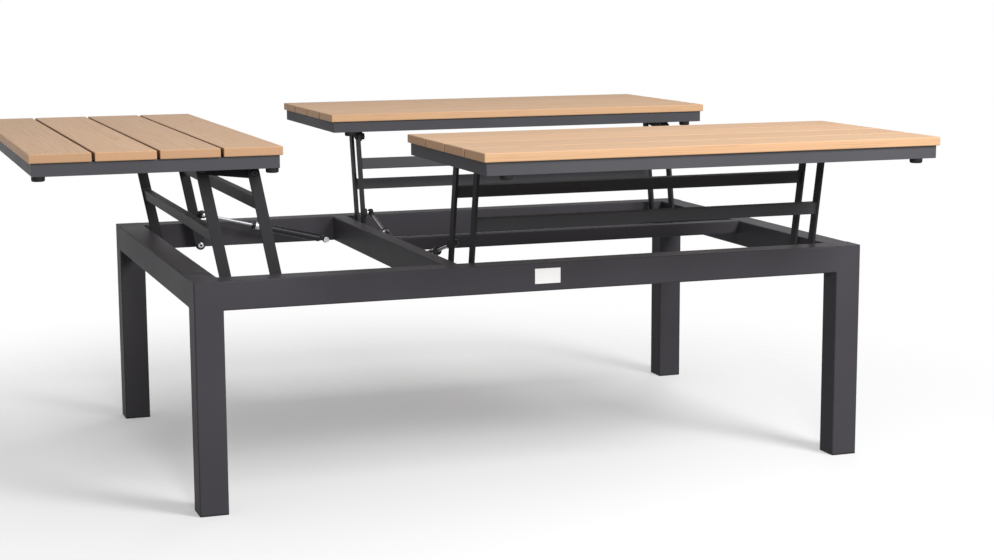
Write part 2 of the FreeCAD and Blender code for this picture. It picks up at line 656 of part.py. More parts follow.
def make_bracket(name, outward):
    """Plate round both top pivots, with a foot below the boards; its origin is the inner pivot."""
    body = doc.addObject("PartDesign::Body", name)
    sketch = new_sketch(body, "XZ_Plane")
    nose = mm.bracket_nose
    head = mm.bracket_reach
    inner = Vector(0, 0, 0)
    outer = Vector(-number(PIVOT_SPACING), mm.outer_pivot_raise, 0)
    slope = (outer - inner).normalize()
    down = Vector(slope.y, -slope.x, 0)
    if down.y > 0:
        down = down.negative()
    right = Vector(nose, 0, 0)
    bend = (right + down * nose).normalize() * nose
    turn = (down * nose - right).normalize() * nose
    top_right = Vector(nose, head, 0)
    top_left = Vector(outer.x - nose, head, 0)
    sketch.addGeometry(Part.LineSegment(top_right, inner + right), False)
    sketch.addGeometry(Part.Arc(inner + right, inner + bend, inner + down * nose), False)
    sketch.addGeometry(Part.LineSegment(inner + down * nose, outer + down * nose), False)
    sketch.addGeometry(Part.Arc(outer + down * nose, outer + turn, outer - right), False)
    sketch.addGeometry(Part.LineSegment(outer - right, top_left), False)
    sketch.addGeometry(Part.LineSegment(top_left, top_right), False)
    side_line, inner_arc, lower_line, outer_arc, back_line, upper_line = range(6)
    # An arc through three points runs counter-clockwise, so its ends swap here
    sketch.addConstraint(Sketcher.Constraint("Tangent", side_line, 2, inner_arc, 2))
    sketch.addConstraint(Sketcher.Constraint("Tangent", inner_arc, 1, lower_line, 1))
    sketch.addConstraint(Sketcher.Constraint("Tangent", lower_line, 2, outer_arc, 2))
    sketch.addConstraint(Sketcher.Constraint("Tangent", outer_arc, 1, back_line, 1))
    sketch.addConstraint(Sketcher.Constraint("Coincident", back_line, 2, upper_line, 1))
    sketch.addConstraint(Sketcher.Constraint("Coincident", upper_line, 2, side_line, 1))
    sketch.addConstraint(Sketcher.Constraint("Vertical", side_line))
    sketch.addConstraint(Sketcher.Constraint("Vertical", back_line))
    sketch.addConstraint(Sketcher.Constraint("Horizontal", upper_line))
    sketch.addConstraint(Sketcher.Constraint("Coincident", inner_arc, 3, -1, 1))
    sketch.addConstraint(Sketcher.Constraint("Equal", inner_arc, outer_arc))
    dimension(sketch, "nose", "sizes.bracket_nose", "Radius", inner_arc, nose)
    dimension(sketch, "spacing", PIVOT_SPACING, "DistanceX", outer_arc, 3, inner_arc, 3, -outer.x)
    dimension(sketch, "step", "sizes.outer_pivot_raise",
              "DistanceY", inner_arc, 3, outer_arc, 3, mm.outer_pivot_raise)
    dimension(sketch, "reach", "sizes.bracket_reach", "DistanceY", -1, 1, side_line, 1, head)
    draw_circle(sketch, "inner_hole", PIN_HOLE)
    draw_circle(sketch, "outer_hole", PIN_HOLE, x=f"-{PIVOT_SPACING}", y="sizes.outer_pivot_raise")
    pad(body, sketch, "sizes.bracket_thickness")

    foot = new_sketch(body, "XZ_Plane")
    draw_rectangle(foot, "foot", f"{PIVOT_SPACING} + 2 * sizes.bracket_nose", "sizes.bracket_thickness")
    foot.setExpression(".AttachmentOffset.Base.x", f"-{PIVOT_SPACING} / 2")
    foot.setExpression(".AttachmentOffset.Base.y", "sizes.bracket_reach - sizes.bracket_thickness / 2")
    pad(body, foot, "sizes.bracket_flange", symmetric=False, reverse=outward < 0)
    return body


def make_top_fittings(unit):
    """Pivot plates, their bolts and nuts, and the rubber buffers."""
    shank = "3 * sizes.running_gap + sizes.link_thickness + sizes.bracket_thickness + sizes.nut_height"
    bolt = fuse("top_bolt", [
        cylinder("sizes.head_diameter", "sizes.head_height", -mm.head_height),
        cylinder("sizes.pin_diameter", shank),
    ])
    hexagon = doc.addObject("Part::Prism", "hexagon")
    hexagon.Polygon = NUT_CORNERS
    hexagon.setExpression("Circumradius", "sizes.nut_corner_radius")
    hexagon.setExpression("Height", "sizes.nut_height")
    nut = cut("nut", hexagon, cylinder(f"2 * {PIN_HOLE}", "sizes.nut_height"))
    inner_seats = (link_outer_face - mm.running_gap, bracket_face + mm.bracket_thickness)
    outer_seats = (outer_link_face + mm.link_thickness + mm.running_gap, bracket_face)
    plates = []
    bolts = []
    buffers = []
    disc = cylinder("sizes.buffer_diameter", "sizes.buffer_height")
    doc.recompute()
    rounded = doc.addObject("Part::Fillet", "buffer")
    rounded.Base = disc
    lower = [index for index, edge in enumerate(disc.Shape.Edges, start=1)
             if edge.BoundBox.ZMax < 1e-6]
    rounded.Edges = [(index, mm.buffer_round, mm.buffer_round) for index in lower]
    buffer_bottom = subframe_bottom - mm.buffer_height
    for side, direction, face in unit.gear_sides():
        plate = make_bracket("bracket", direction)
        plate_middle = bracket_face + mm.bracket_thickness / 2
        plate_y = direction * (face - plate_middle)
        plates.append((plate, unit.place(inner_top_pivot.x, plate_y, inner_top_pivot.z)))
        inboard = Rotation(X_AXIS, QUARTER_TURN * direction)
        outboard = inboard.inverted()
        for pivot, seats, heading in ((inner_top_pivot, inner_seats, inboard),
                                      (outer_top_pivot, outer_seats, outboard)):
            for fastener, seat in zip((bolt, nut), seats):
                bolts.append((fastener, unit.place(pivot.x, direction * (face - seat), pivot.z, heading)))
        inset = unit.near_buffer if side == "near" else unit.far_buffer
        buffer_y = direction * (half_width - inset)
        for x in (end_buffer, mm.top_depth - end_buffer):
            buffers.append((rounded, unit.place(x - travel, buffer_y, buffer_bottom)))
    group(f"{unit.name}_top_brackets", plates)
    group(f"{unit.name}_top_bolts", bolts)
    group(f"{unit.name}_buffers", buffers)


def make_spring(unit):
    """Gas spring from its frame stud to the ear of the near inner link.

    Its own z runs from the frame stud's axis to the rod's stud.
    """
    closed_x = f"(sizes.ear_up * {COS_RISE} + sizes.ear_in * {SIN_RISE})"
    closed_z = f"(sizes.ear_up * {SIN_RISE} - sizes.ear_in * {COS_RISE})"
    open_x = "(sizes.ear_in * cos(sizes.open_lean) - sizes.ear_up * sin(sizes.open_lean))"
    open_z = "(sizes.ear_up * cos(sizes.open_lean) + sizes.ear_in * sin(sizes.open_lean))"
    closed_length = f"sqrt(({unit.spring_reach} - {closed_x})^2 + {closed_z}^2)"
    open_length = f"sqrt(({unit.spring_reach} - {open_x})^2 + {open_z}^2)"
    mouth = f"({closed_length} - sizes.rod_show)"
    mouth_at = number(mouth)
    eye_at = number(open_length)
    frame_stud = inner_pivot + Vector(number(unit.spring_reach), 0, 0)
    ear = inner_pivot + along_link * mm.ear_up + beside_link * mm.ear_in
    way = ear - frame_stud
    tilt = Rotation(Y_AXIS, degrees(atan2(way.x, way.z)))
    y = unit.near * (unit.near_face - mm.spring_offset) - mm.side_shift
    seat = unit.place(frame_stud.x, y, frame_stud.z, tilt)
    half_eye = -mm.eye_thickness / 2
    floor = mm.neck_length + 2 * mm.spring_tube_wall

    outside = fuse("spring_outside", [
        cylinder("sizes.eye_diameter", "sizes.eye_thickness", half_eye, Y_AXIS),
        cylinder("sizes.joint_pin", "sizes.neck_length + sizes.spring_tube_wall"),
        cylinder("sizes.spring_tube_diameter", f"{mouth} - sizes.neck_length", mm.neck_length),
        cylinder("sizes.spring_tube_diameter + 2 * sizes.spring_collar", "sizes.spring_guide",
                 mouth_at - mm.spring_guide),
    ])
    rod_bore = "sizes.rod_diameter + 2 * sizes.pin_clearance"
    bores = fuse("spring_bores", [
        cylinder("sizes.joint_pin + 2 * sizes.pin_clearance", "sizes.eye_thickness", half_eye, Y_AXIS),
        cylinder("sizes.spring_tube_diameter - 2 * sizes.spring_tube_wall",
                 f"{mouth} - sizes.spring_guide - sizes.neck_length - 2 * sizes.spring_tube_wall", floor),
        cylinder(rod_bore, "sizes.spring_guide + 2 * sizes.bore_overrun",
                 mouth_at - mm.spring_guide - mm.bore_overrun),
    ])
    keep(cut("spring_tube", outside, bores), f"{unit.name}_spring_tube", seat)

    piston_top = mouth_at - mm.spring_guide - mm.piston_spare
    piston = "sizes.spring_tube_diameter - 2 * sizes.spring_tube_wall - 2 * sizes.pin_clearance"
    rod_length = (
        f"{open_length} - {mouth} + sizes.spring_guide + sizes.piston_spare + sizes.piston_length"
    )
    rod = cylinder("sizes.rod_diameter", rod_length, piston_top - mm.piston_length)
    eye = cylinder("sizes.eye_diameter", "sizes.eye_thickness", half_eye, Y_AXIS)
    eye.Placement.Base = eye.Placement.Base + Z_AXIS * eye_at
    stud_length = "sizes.spring_offset - sizes.spacer_length - sizes.link_thickness - 2 * sizes.running_gap"
    stud = cylinder("sizes.joint_pin", stud_length, 0, Y_AXIS * unit.near)
    stud.Placement.Base = Z_AXIS * eye_at
    keep(fuse("spring_rod", [
        cylinder(piston, "sizes.piston_length", piston_top - mm.piston_length), rod, eye, stud,
    ]), f"{unit.name}_spring_rod", seat)


make_legs()
make_rails()
make_frame_fasteners()
for unit in units:
    make_arms(unit)
    make_slats(unit)
    make_top_frame(unit)
    make_top_fittings(unit)
    make_spring(unit)
doc.recompute()

for obj in doc.Objects:
    if "Invalid" in obj.State or "Error" in obj.State:
        raise RuntimeError(f"{obj.Label} failed: {obj.State}")
for obj in parts:
    if obj.Shape.isNull() or not obj.Shape.isValid() or not obj.Shape.Solids:
        raise RuntimeError(f"{obj.Label} has no valid shape")

os.makedirs("parts", exist_ok=True)
for obj in parts:
    obj.Shape.exportStep(f"parts/{obj.Label}.step")
print(f"{len(parts)} sub-parts, travel {travel:.1f} mm outward and {lift:.1f} mm up")
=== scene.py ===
# %% [markdown]
# # A garden table with three lifting tops
# The construction of this table comes in as fixed CAD parts, in metres and already in place.
# This lesson gives those parts their finishes and adds the small forms that a drawing leaves out:
# grain-bearing teak boards, turned bolts, gas springs, welds and a small enamelled plate.
# Every place below is measured from the frame, so nothing has to be fitted afterwards.

# %% Load the frame
import json
import math
import random

import bmesh
import bpy
from mathutils import Matrix, Vector


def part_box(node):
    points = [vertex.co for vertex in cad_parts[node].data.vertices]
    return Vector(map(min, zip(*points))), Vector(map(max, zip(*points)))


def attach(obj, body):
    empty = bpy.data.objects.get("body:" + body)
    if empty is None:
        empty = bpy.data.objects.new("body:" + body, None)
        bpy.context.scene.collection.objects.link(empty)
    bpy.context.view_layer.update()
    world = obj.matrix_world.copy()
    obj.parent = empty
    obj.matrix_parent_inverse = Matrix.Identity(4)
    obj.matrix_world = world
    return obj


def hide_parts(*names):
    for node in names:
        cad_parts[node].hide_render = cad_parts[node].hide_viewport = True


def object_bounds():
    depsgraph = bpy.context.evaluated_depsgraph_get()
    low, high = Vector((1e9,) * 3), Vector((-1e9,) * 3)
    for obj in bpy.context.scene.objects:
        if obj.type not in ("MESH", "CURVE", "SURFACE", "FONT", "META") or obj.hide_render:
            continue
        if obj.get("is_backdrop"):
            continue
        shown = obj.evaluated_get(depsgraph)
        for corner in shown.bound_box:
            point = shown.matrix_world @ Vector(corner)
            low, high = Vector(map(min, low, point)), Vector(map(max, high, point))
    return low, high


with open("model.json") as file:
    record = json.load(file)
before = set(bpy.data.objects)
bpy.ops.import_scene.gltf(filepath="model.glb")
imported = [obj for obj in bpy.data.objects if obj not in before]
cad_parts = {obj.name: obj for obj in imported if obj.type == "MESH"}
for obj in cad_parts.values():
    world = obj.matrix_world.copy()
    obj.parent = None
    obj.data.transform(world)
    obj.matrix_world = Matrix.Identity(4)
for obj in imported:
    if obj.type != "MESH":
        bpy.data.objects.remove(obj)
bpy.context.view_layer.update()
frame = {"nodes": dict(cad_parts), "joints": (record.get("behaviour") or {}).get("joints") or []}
nodes = frame["nodes"]
joints = {joint["name"]: joint for joint in frame["joints"]}
MM = 0.001
UP = Vector((0, 0, 1))
WHITE = (1, 1, 1, 1)

# %% [markdown]
# ## The camera
# The photograph looks at the long side from the left, a little above the tops. The corners of the
# three tops and the feet fix where the camera stood, so its place and turn are written as such, and
# the lens follows from the focal length in pixels. A long lens from almost four metres keeps the
# legs nearly parallel; a closer wide lens would spread them.

# %% Place the camera
IMAGE_WIDTH = 994
FOCAL_PIXELS = 1925
SENSOR = 36
CAMERA_AT = Vector((-1.0854, -3.543, 0.897))
CAMERA_YAW = math.radians(19.71)
CAMERA_PITCH = math.radians(8.94)
CAMERA_ROLL = math.radians(-0.25)

scene = bpy.context.scene
camera_data = bpy.data.cameras.new("camera")
camera_data.sensor_width = SENSOR
camera_data.lens = SENSOR * FOCAL_PIXELS / IMAGE_WIDTH
camera = bpy.data.objects.new("camera", camera_data)
turn = Matrix.Rotation(-CAMERA_YAW, 4, "Z")
tilt = Matrix.Rotation(math.pi / 2 - CAMERA_PITCH, 4, "X")
roll = Matrix.Rotation(CAMERA_ROLL, 4, "Z")
camera.matrix_world = Matrix.Translation(CAMERA_AT) @ turn @ tilt @ roll
scene.collection.objects.link(camera)
scene.camera = camera
print(f"lens {camera_data.lens:.1f} mm")

# %% [markdown]
# ## A way to write materials
# A material is a tree of nodes. Adding nodes and links one by one hides the idea behind a finish,
# so this small class wraps an output socket: sums and products of sockets become Math nodes, and
# one method adds every other kind of node with its settings and inputs.


# %% Wrap a socket
class Wire:
    """An output socket; arithmetic adds Math nodes and node() adds any other node."""

    def __init__(self, tree, socket=None):
        self.tree = tree
        self.socket = socket

    def node(self, kind, settings=None, inputs=None, output=0):
        """Adds a node, applies its settings, then fills its inputs with values or wires."""
        made = self.tree.nodes.new(kind)
        for key, value in (settings or {}).items():
            setattr(made, key, value)
        for key, value in (inputs or {}).items():
            if isinstance(value, Wire):
                self.tree.links.new(value.socket, made.inputs[key])
            else:
                made.inputs[key].default_value = value
        return Wire(self.tree, made.outputs[output] if made.outputs else None)

    def maths(self, operation, first, second):
        """Adds a Math node for two numbers or wires."""
        return self.node("ShaderNodeMath", {"operation": operation}, {0: first, 1: second})

    def __add__(self, other):
        return self.maths("ADD", self, other)

    def __sub__(self, other):
        return self.maths("SUBTRACT", self, other)

    def __rsub__(self, other):
        return self.maths("SUBTRACT", other, self)

    def __mul__(self, other):
        return self.maths("MULTIPLY", self, other)

    __radd__ = __add__
    __rmul__ = __mul__


print("operators", [name for name in vars(Wire) if name.endswith(("add__", "sub__", "mul__"))])

# %% [markdown]
# ## Words for finishes
# A few short functions say what every finish needs: a noise pattern, a value that swings about a
# middle, a colour between two colours, a bump, and the shader that closes the tree.

# %% Name the steps of a finish
MIX_FACTOR, MIX_FIRST, MIX_SECOND, MIX_RESULT = 0, 6, 7, 2


def new_material(name):
    """An empty material and a wire to start from."""
    material = bpy.data.materials.new(name)
    material.use_nodes = True
    material.node_tree.nodes.clear()
    return material, Wire(material.node_tree)


def surface(start, inputs):
    """Closes a material with one Principled shader."""
    shader = start.node("ShaderNodeBsdfPrincipled", inputs=inputs)
    start.node("ShaderNodeOutputMaterial", inputs={"Surface": shader})


def object_place(start):
    """Place of a point in its own object."""
    return start.node("ShaderNodeTexCoord", output="Object")


def noise(start, vector, scale=1.0, detail=2.0, roughness=0.5):
    """Value of a noise pattern, about 0.5 on average."""
    inputs = {"Vector": vector, "Scale": scale, "Detail": detail, "Roughness": roughness}
    return start.node("ShaderNodeTexNoise", inputs=inputs)


def swing(pattern, spread, middle):
    """A noise value that varies by a spread about a middle."""
    return pattern * spread + (middle - spread / 2)


def mix(start, factor, first, second, blend="MIX"):
    """Colour between two colours."""
    settings = {"data_type": "RGBA", "blend_type": blend}
    inputs = {MIX_FACTOR: factor, MIX_FIRST: first, MIX_SECOND: second}
    return start.node("ShaderNodeMix", settings, inputs, output=MIX_RESULT)


def shaded(start, colour, tone):
    """Colour made lighter or darker by a tone."""
    return mix(start, 1.0, colour, tone, "MULTIPLY")


def bump(start, height, strength, distance):
    """Normal that follows a height."""
    inputs = {"Strength": strength, "Distance": distance, "Height": height}
    return start.node("ShaderNodeBump", inputs=inputs)


def tint(red, green, blue):
    """Colour as seen on a screen, 0 to 255, in the linear values that shaders use."""
    linear = [((part / 255 + 0.055) / 1.055) ** 2.4 for part in (red, green, blue)]
    return (*linear, 1.0)


print("a screen grey of 128 is", round(tint(128, 128, 128)[0], 3), "in linear light")

# %% [markdown]
# ## Powder coat
# Frame, sub-frames and links are aluminium and steel under baked powder: a matt grey skin with a
# fine pebble that you feel more than see, and slow drifts of tone from the spraying. A bump from
# very small noise gives the pebble; the drift is large noise that moves colour and roughness a little.

# %% Mix the powder coats
COAT_SHEEN = 0.02
DRIFT_TONE = 0.22
DRIFT_ROUGHNESS = 0.16
SPECKLE_TONE = 0.12


def powder_coat(name, colour, roughness):
    """Matt coat; roughness is its middle value."""
    material, start = new_material(name)
    place = object_place(start)
    drift = noise(start, place, scale=7.0, detail=3.0)
    speckle = noise(start, place, scale=900.0, detail=1.0)
    pebble = noise(start, place, scale=1300.0, detail=1.0)
    tone = swing(drift, DRIFT_TONE, 1.0) + swing(speckle, SPECKLE_TONE, 0.0)
    surface(start, {
        "Base Color": shaded(start, colour, tone),
        "Roughness": swing(drift, DRIFT_ROUGHNESS, roughness),
        "Specular IOR Level": COAT_SHEEN,
        "Normal": bump(start, pebble, strength=0.3, distance=0.1 * MM),
    })
    return material


frame_coat = powder_coat("frame_coat", tint(71, 69, 73), roughness=0.44)
top_frame_coat = powder_coat("top_frame_coat", tint(81, 81, 85), roughness=0.42)
# The cross bars take a lighter copy of the links' coat: painted light, for the light that reaches them
# under the tops.
bar_coat = powder_coat("bar_coat", tint(79, 79, 82), roughness=0.44)
link_coat = powder_coat("link_coat", tint(57, 57, 59), roughness=0.45)
bracket_coat = powder_coat("bracket_coat", tint(42, 42, 45), roughness=0.48)
print("five powder coats")

# %% [markdown]
# ## Rubber, plastic and metal
# The buffers are moulded rubber and the glides plain plastic, both near black. Bolts are zinc
# plated, with cloudy patches of brightness, and those of the tops are blackened. The piston rods are
# chromed and ground to a soft grey shine. The gas springs have a thin black lacquer.

# %% Mix the small finishes
DULL_SHEEN = 0.25
PATCH_TONE = 0.5
GRAIN_ROUGHNESS = 0.15
CLOUD_TONE = 0.4


def dull_black(name, colour, roughness, grain):
    """Rubber, plastic or lacquer; roughness is its middle value and grain the scale of its texture."""
    material, start = new_material(name)
    place = object_place(start)
    fine = noise(start, place, scale=grain)
    wide = noise(start, place, scale=40.0)
    surface(start, {
        "Base Color": shaded(start, colour, swing(wide, PATCH_TONE, 1.0)),
        "Roughness": swing(fine, GRAIN_ROUGHNESS, roughness),
        "Specular IOR Level": DULL_SHEEN,
        "Normal": bump(start, fine, strength=0.3, distance=0.1 * MM),
    })
    return material


def cloudy_metal(name, colour, roughness, spread):
    """Plated metal; roughness is its least value and spread is what the clouds add."""
    material, start = new_material(name)
    place = object_place(start)
    cloud = noise(start, place, scale=90.0, detail=3.0)
    fine = noise(start, place, scale=1800.0)
    surface(start, {
        "Base Color": shaded(start, colour, swing(cloud, CLOUD_TONE, 1.0)),
        "Metallic": 1.0,
        "Roughness": cloud * spread + roughness,
        "Normal": bump(start, fine, strength=0.1, distance=0.05 * MM),
    })
    return material


rubber = dull_black("rubber", tint(17, 17, 18), roughness=0.7, grain=700.0)
glide_plastic = dull_black("glide_plastic", tint(34, 34, 35), roughness=0.55, grain=500.0)
joint_plastic = dull_black("joint_plastic", tint(26, 26, 28), roughness=0.4, grain=500.0)
spring_black = dull_black("spring_black", tint(30, 30, 33), roughness=0.42, grain=300.0)
zinc = cloudy_metal("zinc", tint(205, 206, 210), roughness=0.24, spread=0.16)
dark_zinc = cloudy_metal("dark_zinc", tint(48, 48, 51), roughness=0.45, spread=0.16)
rod_chrome = cloudy_metal("rod_chrome", tint(150, 151, 155), roughness=0.32, spread=0.08)
print("rubber, two plastics, lacquer and three metals")

# %% [markdown]
# ## Teak
# Each board is cut from its own log, so each needs its own grain and tone. The boards carry two
# attributes of their own: a position along, across and up the board, shifted by chance, and a tone.
# Growth rings are a ring pattern round the far-off heart of the log, stretched along the board,
# and pores are very long thin noise. Sawn ends show the same rings across, and darker. The sides of
# the gaps are painted darker and browner, as painted shade in the narrow gaps, and the outer sides
# are a little darker than the top face.

# %% Mix the teak
TEAK_LIGHT = tint(223, 185, 146)
TEAK_DARK = tint(199, 154, 115)
TEAK_PORE = tint(150, 101, 62)
TEAK_END = tint(191, 151, 115)
# Painted shade: the sides along the gaps are darker and browner than the face.
TEAK_GAP_SHADE = tint(134, 92, 60)
TEAK_SIDE = tint(210, 170, 130)
TEAK_SHEEN = 0.4
RING_SPACING = 6 * MM
RING_PERIOD = 2 * math.pi / 20
LONG_GRAIN = 0.05
END_GRAIN = 1.0
RING_DEPTH = 0.38
FIBRE_DEPTH = 0.42
CLOUD_DEPTH = 0.35
LEAST_DEPTH = -0.12
PORE_FROM = 0.60
PORE_TO = 0.72
PORE_SHARE = 0.35
FIBRE_HEIGHT = 0.6
PORE_HEIGHT = 0.5
FIBRE_ROUGHNESS = 0.2


def teak(name, light, dark, stretch, roughness):
    """Teak between two colours; stretch draws the rings out and roughness is its least value."""
    material, start = new_material(name)
    grain = start.node("ShaderNodeAttribute", {"attribute_name": "grain"}, output="Vector")
    tone = start.node("ShaderNodeAttribute", {"attribute_name": "tone"}, output="Fac")

    def scaled(along, across):
        inputs = {"Vector": grain, "Scale": (along, across, across)}
        return start.node("ShaderNodeMapping", inputs=inputs)

    rings = start.node(
        "ShaderNodeTexWave",
        {"wave_type": "RINGS", "rings_direction": "X", "wave_profile": "SAW"},
        {"Vector": scaled(stretch, 1.0), "Scale": RING_PERIOD / RING_SPACING,
         "Distortion": 5.0, "Detail": 3.0, "Detail Scale": 1.2},
    )
    fibre = noise(start, scaled(along=6.0, across=260.0), detail=4.0, roughness=0.6)
    cloud = noise(start, scaled(along=2.0, across=14.0))
    specks = noise(start, scaled(along=14.0, across=900.0), detail=1.0)
    pores = start.node(
        "ShaderNodeMapRange", inputs={"Value": specks, "From Min": PORE_FROM, "From Max": PORE_TO}
    )
    depth = rings * RING_DEPTH + fibre * FIBRE_DEPTH + cloud * CLOUD_DEPTH + LEAST_DEPTH
    body = mix(start, depth, light, dark)
    pored = mix(start, pores * PORE_SHARE, body, TEAK_PORE)
    height = fibre * FIBRE_HEIGHT - pores * PORE_HEIGHT
    surface(start, {
        "Base Color": shaded(start, pored, tone),
        "Roughness": fibre * FIBRE_ROUGHNESS + roughness,
        "Specular IOR Level": TEAK_SHEEN,
        "Normal": bump(start, height, strength=0.25, distance=0.15 * MM),
    })
    return material


teak_face = teak("teak", TEAK_LIGHT, TEAK_DARK, LONG_GRAIN, roughness=0.46)
teak_end = teak("teak_end", TEAK_END, TEAK_DARK, END_GRAIN, roughness=0.5)
# The sides along the gaps take this teak with painted shade.
teak_gap = teak("teak_gap", TEAK_GAP_SHADE, TEAK_PORE, LONG_GRAIN, roughness=0.55)
teak_side = teak("teak_side", TEAK_SIDE, TEAK_DARK, LONG_GRAIN, roughness=0.5)
print("teak for faces, for sawn ends, for the gaps and for the outer sides")

# %% [markdown]
# ## Helpers for pieces
# Every new piece starts as a bmesh, ends as an object at the origin with its place in its mesh, and
# rides on the CAD body that carries it. Weighted normals keep large faces flat to the eye beside
# their small rounded edges. Round pieces are a half outline spun about an axis.

# %% Make pieces
SHARP = math.radians(38)
SAME_POINT = MM / 1000


def piece(name, shape, body, finishes, replaces=()):
    """Turns a bmesh into a named piece that rides on a body."""
    mesh = bpy.data.meshes.new(name)
    shape.to_mesh(mesh)
    shape.free()
    for finish in finishes:
        mesh.materials.append(finish)
    mesh.shade_smooth()
    mesh.set_sharp_from_angle(angle=SHARP)
    made = bpy.data.objects.new(name, mesh)
    scene.collection.objects.link(made)
    weighted = made.modifiers.new("flat_faces", "WEIGHTED_NORMAL")
    weighted.keep_sharp = True
    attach(made, body)
    if replaces:
        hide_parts(*replaces)


def turned(outline, steps=32, finish=0):
    """Shape of revolution about z from (radius, height) points."""
    shape = bmesh.new()
    points = [shape.verts.new((radius, 0, height)) for radius, height in outline]
    edges = [shape.edges.new(pair) for pair in zip(points, points[1:])]
    bmesh.ops.spin(
        shape, geom=points + edges, cent=(0, 0, 0), axis=UP, dvec=(0, 0, 0),
        angle=2 * math.pi, steps=steps, use_merge=True,
    )
    bmesh.ops.remove_doubles(shape, verts=shape.verts, dist=SAME_POINT)
    bmesh.ops.recalc_face_normals(shape, faces=shape.faces)
    for face in shape.faces:
        face.material_index = finish
    return shape


def round_edges(shape, rounding, segments=2):
    """Rounds every edge of a shape."""
    bmesh.ops.bevel(
        shape, geom=shape.edges, offset=rounding, offset_type="OFFSET", affect="EDGES",
        segments=segments, profile=0.5, material=-1,
    )


def block(size, rounding, segments=2):
    """Box about the origin with rounded edges."""
    shape = bmesh.new()
    bmesh.ops.create_cube(shape, size=1.0)
    bmesh.ops.scale(shape, vec=size, verts=shape.verts)
    round_edges(shape, rounding, segments)
    return shape


def add_copy(shape, part, place):
    """Adds a copy of one bmesh to another, at a place."""
    mesh = bpy.data.meshes.new("copy")
    part.to_mesh(mesh)
    mesh.transform(place)
    shape.from_mesh(mesh)
    bpy.data.meshes.remove(mesh)


def add_once(shape, part, place):
    """Adds a bmesh to another, at a place, and frees it."""
    add_copy(shape, part, place)
    part.free()


print("edges count as sharp from", round(math.degrees(SHARP)), "degrees")

# %% [markdown]
# ## The three units
# The tops lift to three sides, but their gear is the same. So each unit gets directions of its own,
# read from its joints: inward, along its hinges, and up. What follows is written once in these.


# %% Read the units
def axes(origin, x, y, z):
    """Matrix that takes the axes x, y and z of a shape to these directions."""
    place = Matrix((x, y, z)).transposed().to_4x4()
    place.translation = origin
    return place


def facing(origin, way):
    """Matrix that stands a turned shape on a point, with its z along a direction."""
    return Matrix.Translation(origin) @ UP.rotation_difference(way).to_matrix().to_4x4()


class Unit:
    """Directions and pivots of one lifting top; x runs inward, y along its hinges, z up."""

    def __init__(self, name):
        self.name = name
        self.along = Vector(joints[f"{name}_lift"]["axis"])
        self.inward = self.along.cross(UP)
        self.middle = self.pivot("lift").dot(self.along)
        self.link = self.pivot("top_level") - self.pivot("lift")

    def pivot(self, joint):
        """Point on the axis of one of the unit's joints, in the middle of the unit."""
        return Vector(joints[f"{self.name}_{joint}"]["pos_m"])

    def place(self, origin):
        """Matrix that turns a shape into the unit's own directions, at a point."""
        return axes(origin, self.inward, self.along, UP)

    def span(self, node):
        """Centre and size of a node in the unit's own directions."""
        low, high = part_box(f"{self.name}_{node}")
        size = high - low
        return (low + high) / 2, [abs(size.dot(way)) for way in (self.inward, self.along, UP)]

    def beside(self, node):
        """How far the middle of a node lies along the unit's axis, and which way is outboard."""
        centre, _ = self.span(node)
        offset = centre.dot(self.along) - self.middle
        return self.along * offset, self.along * math.copysign(1, offset)

    def reach(self, node, start, way):
        """Least and greatest distance of a node's points from a start, in a direction."""
        points = nodes[f"{self.name}_{node}"].data.vertices
        distances = [(vert.co - start).dot(way) for vert in points]
        return min(distances), max(distances)


units = [Unit(name) for name in ("left", "front", "back")]
for unit in units:
    print(unit.name, "lifts towards", [round(-part) for part in unit.inward])

# %% [markdown]
# ## The teak boards
# A top is four boards with an eased edge all round, laid with a gap so that rain runs off. A plain
# box with a bevel is the right form; what makes it a board is that every corner knows where it lies
# in its own log. The saw cut at the ends, the sides along a gap and the outer sides get finishes of
# their own.

# %% Lay the boards
BOARDS = 4
BOARD_GAP = 5 * MM
BOARD_EDGE = 1.8 * MM
BOARD_FINISHES = [teak_face, teak_end, teak_gap, teak_side]
END, GAP, SIDE = 1, 2, 3
OUTER_SIDES = {0: -1, BOARDS - 1: 1}
FACES_THAT_WAY = 0.9
GRAIN_SHIFTS = ((0, 9), (-0.09, 0.09), (0.03, 0.1))
BOARD_TONES = (0.9, 1.06)
SEED = 7
chance = random.Random(SEED)


def board_rows(unit):
    """Width of a board, and how far inward each one lies from the middle of its top."""
    _, (depth, _, _) = unit.span("slats")
    width = (depth - (BOARDS - 1) * BOARD_GAP) / BOARDS
    return width, [(index - (BOARDS - 1) / 2) * (width + BOARD_GAP) for index in range(BOARDS)]


def board(width, length, thickness, outer_side):
    """One board with its grain and tone; its outer side, -1 or 1, faces no gap, and 0 is none."""
    shape = block((width, length, thickness), BOARD_EDGE, segments=3)
    grain = shape.verts.layers.float_vector.new("grain")
    tone = shape.verts.layers.float.new("tone")
    shift = Vector([chance.uniform(*limits) for limits in GRAIN_SHIFTS])
    own_tone = chance.uniform(*BOARD_TONES)
    for vert in shape.verts:
        vert[grain] = Vector((vert.co.y, vert.co.x, vert.co.z)) + shift
        vert[tone] = own_tone
    for face in shape.faces:
        if abs(face.normal.y) > FACES_THAT_WAY:
            face.material_index = END
        elif abs(face.normal.x) > FACES_THAT_WAY:
            # Sides along a gap take the teak with painted shade.
            face.material_index = SIDE if face.normal.x * outer_side > 0 else GAP
    return shape


for unit in units:
    centre, (_, length, thickness) = unit.span("slats")
    width, rows = board_rows(unit)
    top = bmesh.new()
    for index, row in enumerate(rows):
        plank = board(width, length, thickness, OUTER_SIDES.get(index, 0))
        add_once(top, plank, unit.place(centre + unit.inward * row))
    piece(f"{unit.name}_boards", top, f"{unit.name}_top", BOARD_FINISHES,
          [f"{unit.name}_slats"])
    print(f"{unit.name} boards {width / MM:.1f} x {length / MM:.0f} x {thickness / MM:.0f} mm")

